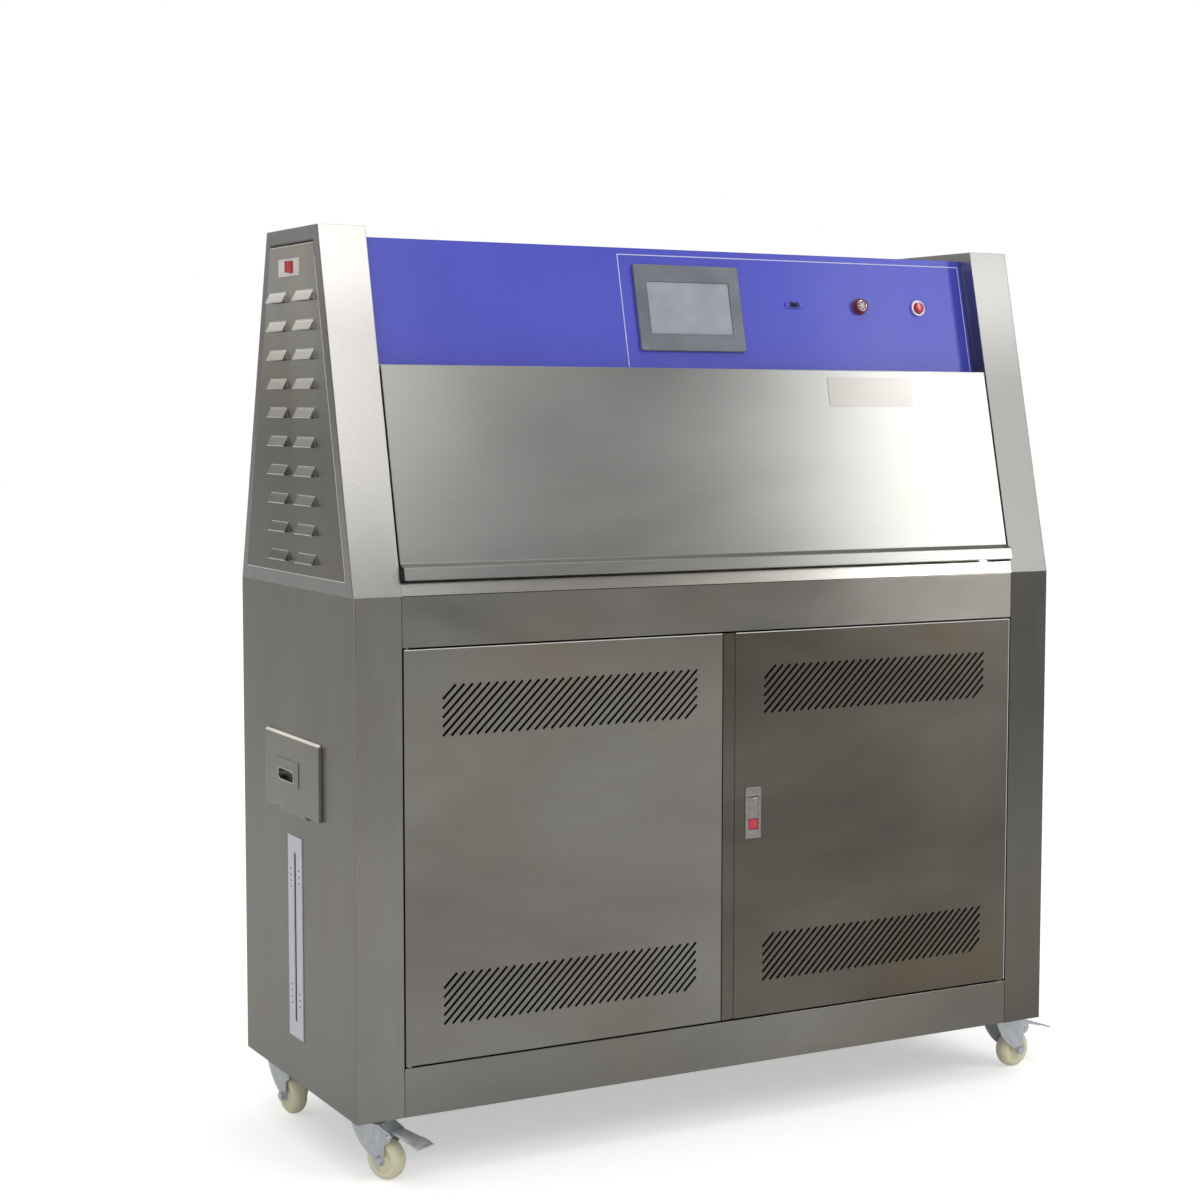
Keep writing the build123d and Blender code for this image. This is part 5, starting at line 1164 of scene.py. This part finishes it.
@dataclass
class Casters(Assembly):
    """Four swivel casters: forks, wheels, brake pedals, nuts and rivets."""

    spread_x: float = 605.0
    spread_y: float = 195.0
    trail: float = 30.0
    wheel_radius: float = 32.5
    half_wheel: float = 15.0
    leg_outer: float = 19.0
    rivet_z: float = 72.0

    def places(self) -> dict[str, Matrix]:
        """Gives each caster's place on the floor, turned the way its fork points."""
        turns = {"front_left": (-1, -1, 299.0), "front_right": (1, -1, 7.0), "rear_left": (-1, 1, 278.0),
                 "rear_right": (1, 1, 30.0)}
        return {name: at(sx * self.spread_x, sy * self.spread_y, 0) @ Matrix.Rotation(math.radians(a), 4, "Z")
                for name, (sx, sy, a) in turns.items()}

    def build(self) -> None:
        """Dresses the forks and plates and models wheels, pedals and nuts once for four casters."""
        self.dress(self.stock.zinc, "caster_plates")
        wheel, pedal, trim = self.wheel(), self.pedal(), self.trim()
        for name, where in self.places().items():
            self.dress(self.stock.zinc, f"caster_fork_{name}")
            self.add(Bench.copy(wheel, f"wheel_{name}", where), f"wheel_{name}", self.stock.nylon,
                     "wheel_nylon", f"caster_wheel_{name}")
            self.add(Bench.copy(pedal, f"pedal_{name}", where), f"brake_{name}", self.stock.zinc,
                     "zinc_plate", f"caster_pedal_{name}")
            self.add(Bench.copy(trim, f"fork_trim_{name}", where), f"swivel_{name}", self.stock.chrome,
                     "zinc_plate")
        for pattern in (wheel, pedal, trim):
            Bench.discard(pattern)

    def wheel(self) -> bpy.types.Object:
        """Turns the nylon wheel: crowned tread, ribbed side and a hub with its bore."""
        r, w = self.wheel_radius, self.half_wheel
        side = [(4.4, w - 0.3), (8.2, w - 0.2), (9.0, w - 1.2), (9.6, w - 3.6), (17.5, w - 3.9),
                (18.4, w - 1.9), (20.0, w - 1.0), (24.0, w - 1.4), (27.4, w - 2.8), (30.0, w - 5.4),
                (31.6, w - 8.4), (r - 0.2, w - 11.4), (r, 0)]
        rings = side + [(radius, -height) for radius, height in reversed(side[:-1])]
        wheel = Bench.turned("wheel_pattern", rings, 64, closed=True)
        turn = Matrix.Rotation(math.radians(-90), 4, "X")
        return Bench.place(wheel, at(self.trail, 0, r) @ turn)

    def pedal(self) -> bpy.types.Object:
        """Presses the brake pedal from one sheet: flat root, step, wide pad and rolled tip."""
        stations = [(43.0, 78.6, 12.6), (52.0, 79.3, 12.8), (58.0, 79.0, 13.0), (72.0, 75.2, 14.2),
                    (84.0, 71.2, 16.6), (87.5, 70.0, 19.4), (99.0, 66.0, 19.8), (103.0, 63.6, 19.8),
                    (107.5, 63.3, 19.4)]
        Bench.clear()
        x0, z0, half0 = stations[0]
        x1, z1, half1 = stations[1]
        bpy.ops.mesh.primitive_plane_add(size=1, location=((x0 + x1) / 2 * MM, 0, z0 * MM))
        pedal = Bench.rename("pedal_pattern")
        pedal.scale = ((x1 - x0) * MM, 2 * half0 * MM, 1)
        bpy.ops.object.transform_apply(location=True, rotation=True, scale=True)
        Bench.pick(pedal, lambda a, b: min(a.x, b.x) > x1 - 0.5, "EDGE")
        bpy.ops.transform.translate(value=(0, 0, (z1 - z0) * MM))
        x, z, half = x1, z1, half0
        for next_x, next_z, next_half in stations[2:]:
            move = ((next_x - x) * MM, 0, (next_z - z) * MM)
            bpy.ops.mesh.extrude_region_move(TRANSFORM_OT_translate={"value": move})
            bpy.ops.transform.resize(value=(1, next_half / half, 1), center_override=(0, 0, 0))
            x, z, half = next_x, next_z, next_half
        Bench.done()
        rim = Bench.pick(pedal, lambda a, b: a.y * b.y > 0 and min(abs(a.y), abs(b.y)) > 12.0
                         and max(a.x, b.x) < 86.0, "EDGE")
        LOG.info("pedal skirt from %d edges", rim)
        bpy.ops.mesh.extrude_region_move(TRANSFORM_OT_translate={"value": (0, 0, -4.6 * MM)})
        Bench.done()
        Bench.pick(pedal, lambda middle, normal: 87.0 < middle.x < 99.5 and abs(middle.y) < 5.0)
        bpy.ops.mesh.inset(thickness=3.4 * MM)
        bpy.ops.transform.translate(value=(0, 0, -0.9 * MM))
        bpy.ops.mesh.select_all(action="SELECT")
        bpy.ops.mesh.normals_make_consistent(inside=False)
        Bench.done()
        sheet = pedal.modifiers.new("sheet", "SOLIDIFY")
        sheet.thickness, sheet.offset = 1.7 * MM, -1
        Bench.only(pedal)
        bpy.ops.object.modifier_apply(modifier=sheet.name)
        Bench.round_edges(pedal, 0.5, 2, 30)
        Bench.smooth(pedal, 50)
        return pedal

    def trim(self) -> bpy.types.Object:
        """Makes the axle washers and nuts and the pedal rivets of one fork."""
        parts = []
        for side in (-1, 1):
            turn = Matrix.Rotation(math.radians(-90 * side), 4, "X")
            axle = at(self.trail, side * self.leg_outer, self.wheel_radius) @ turn
            washer = Bench.turned("washer", [(4.2, 0.05), (8.6, 0.05), (8.6, 0.9), (8.2, 1.3),
                                             (4.2, 1.3)], 36, closed=True)
            nut = Bench.turned("nut", [(6.9, 1.3), (6.9, 4.6), (6.2, 5.4), (5.2, 5.6), (4.9, 6.0),
                                       (0.3, 6.9)], 6)
            Bench.round_edges(nut, 0.4, 2, 25)
            parts += [Bench.place(washer, axle), Bench.place(nut, axle)]
            for x, steps, rings in (
                    (46.0, 24, [(3.8, 0.05), (3.8, 0.4), (3.0, 1.1), (1.6, 1.6), (0.3, 1.7)]),
                    (20.0, 20, [(2.4, 0.05), (2.2, 0.5), (1.4, 1.0), (0.3, 1.1)])):
                rivet = Bench.turned("rivet", rings, steps)
                parts.append(Bench.place(rivet, at(x, side * self.leg_outer, self.rivet_z) @ turn))
        return Bench.join("fork_trim_pattern", parts)


@dataclass
class Machinery(Assembly):
    """Pump, blower, electrical plate and the ports in the rear."""

    def build(self) -> None:
        """Dresses the machinery."""
        self.dress(self.stock.enamel, "pump")
        self.dress(self.stock.grey_enamel, "blower")
        self.dress(self.stock.grey, "electrical_plate")
        self.dress(self.stock.brass, "rear_ports")


@dataclass
class Studio:
    """Camera at the photograph's place, pale floor and soft light."""

    azimuth: float = -29.523
    elevation: float = 4.813
    roll: float = 0.223
    distance: float = 3993.4
    target: tuple[float, float] = (49.64, 852.67)
    focal_px: float = 2311.1
    centre_px: tuple[float, float] = (680.0, 600.0)
    frame_px: float = 1200.0
    near_glow: float = 0.34
    far_glow: float = 0.05
    rear_glow: float = 0.45
    zenith_glow: float = 1.0

    def camera(self) -> bpy.types.Object:
        """Sets the camera from its fitted place, turn and lens."""
        a, e, r = (math.radians(v) for v in (self.azimuth, self.elevation, self.roll))
        back = Vector((math.sin(a) * math.cos(e), -math.cos(a) * math.cos(e), math.sin(e)))
        right = (-back).cross(Vector((0, 0, 1))).normalized()
        up = right.cross(-back)
        right, up = right * math.cos(r) + up * math.sin(r), up * math.cos(r) - right * math.sin(r)
        place = Vector((self.target[0], 0, self.target[1])) + back * self.distance
        lens = bpy.data.cameras.new("camera")
        lens.sensor_width = 36.0
        lens.lens = self.focal_px / self.frame_px * 36.0
        lens.shift_x = (self.frame_px / 2 - self.centre_px[0]) / self.frame_px
        lens.shift_y = (self.centre_px[1] - self.frame_px / 2) / self.frame_px
        lens.clip_start, lens.clip_end = 0.05, 200.0
        camera = bpy.data.objects.new("camera", lens)
        bpy.context.scene.collection.objects.link(camera)
        turn = Matrix((right, up, back)).transposed().to_4x4()
        camera.matrix_world = Matrix.Translation(place * MM) @ turn
        bpy.context.scene.camera = camera
        return camera

    def area(self, name: str, place: tuple, aim: tuple, size: tuple, power: float) -> None:
        """Hangs one soft white light.

        Args:
            name: The light's name.
            place: Where it hangs, in metres.
            aim: The point it faces, in metres.
            size: Its width and height in metres.
            power: Its power in watts.
        """
        light = bpy.data.lights.new(name, "AREA")
        light.shape = "RECTANGLE"
        light.size, light.size_y = size
        light.energy = power
        lamp = bpy.data.objects.new(name, light)
        bpy.context.scene.collection.objects.link(lamp)
        lamp.matrix_world = facing(Vector(place) / MM, Vector(place) - Vector(aim), Vector((0, 0, 1)))

    def world(self) -> None:
        """Lights the room: pale behind and above the chamber, dimmer in front of it."""
        world = bpy.data.worlds.new("studio")
        bpy.context.scene.world = world
        world.use_nodes = True
        tree = world.node_tree
        tree.nodes.clear()
        way = add_node(tree, "ShaderNodeTexCoord").outputs["Generated"]
        parts = add_node(tree, "ShaderNodeSeparateXYZ", {0: way}).outputs
        wide = add_node(tree, "ShaderNodeMapRange", {"Value": parts[0]},
                        {"From Min": 0.2, "From Max": 0.72, "To Min": self.near_glow,
                         "To Max": self.far_glow},
                        interpolation_type="SMOOTHSTEP")
        deep = add_node(tree, "ShaderNodeMapRange", {"Value": parts[1], "To Min": wide.outputs[0]},
                        {"From Min": -0.2, "From Max": 0.5, "To Max": self.rear_glow},
                        interpolation_type="SMOOTHSTEP")
        high = add_node(tree, "ShaderNodeMapRange", {"Value": parts[2]},
                        {"From Min": 0.42, "From Max": 0.95}, interpolation_type="SMOOTHSTEP")
        glow = add_node(tree, "ShaderNodeMix", {"Factor": high.outputs[0], 2: deep.outputs[0]},
                        {3: self.zenith_glow})
        seen = add_node(tree, "ShaderNodeLightPath").outputs["Is Camera Ray"]
        shown = add_node(tree, "ShaderNodeMix", {"Factor": seen, 2: glow.outputs[0]}, {3: 1.0})
        room = add_node(tree, "ShaderNodeBackground", {"Strength": shown.outputs[0]},
                        {"Color": (1, 1, 1, 1)})
        add_node(tree, "ShaderNodeOutputWorld", {"Surface": room.outputs[0]})

    def floor(self) -> None:
        """Lays the pale floor."""
        Bench.clear()
        bpy.ops.mesh.primitive_plane_add(size=60, location=(0, 0, 0))
        floor = Bench.rename("floor")
        floor.data.materials.append(PaleFloor().build())

    def build(self) -> None:
        """Sets camera, light and floor."""
        self.camera()
        self.world()
        self.floor()
        self.area("left_slope_light", (0.45, -3.0, 2.95), (-0.6, -0.2, 1.2), (0.9, 1.2), 10)
        self.area("right_slope_light", (2.6, -2.75, 2.15), (0.5, -0.2, 1.0), (0.6, 1.9), 28)
        self.area("rear_left_light", (-2.1, 3.4, 2.9), (-0.6, 0, 1.2), (2.4, 1.2), 14)
        self.area("front_fill_light", (-2.7, -3.4, 0.9), (0, -0.2, 0.6), (1.6, 1.2), 14)
        self.area("overhead_light", (0.0, -0.2, 4.2), (0, 0, 0.9), (3.4, 2.6), 14)
        view = bpy.context.scene.view_settings
        view.view_transform = "Standard"
        view.look = "None"


def main() -> None:
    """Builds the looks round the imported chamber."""
    logging.basicConfig(level=logging.INFO, format="%(name)s: %(message)s")
    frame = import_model()
    Studio().build()
    stock = Stock()
    made: list[str] = []
    for kind in (Casing, ControlPanel, Cupboard, SpecimenDoors, Chamber, WaterSide, Casters, Machinery):
        assembly = kind(stock, frame["nodes"])
        assembly.build()
        LOG.info("%s done, %d pieces", kind.__name__, len(assembly.made))
        made += assembly.made
    LOG.info("%d pieces made", len(made))
    bpy.context.view_layer.update()


if __name__ == "__main__":
    main()
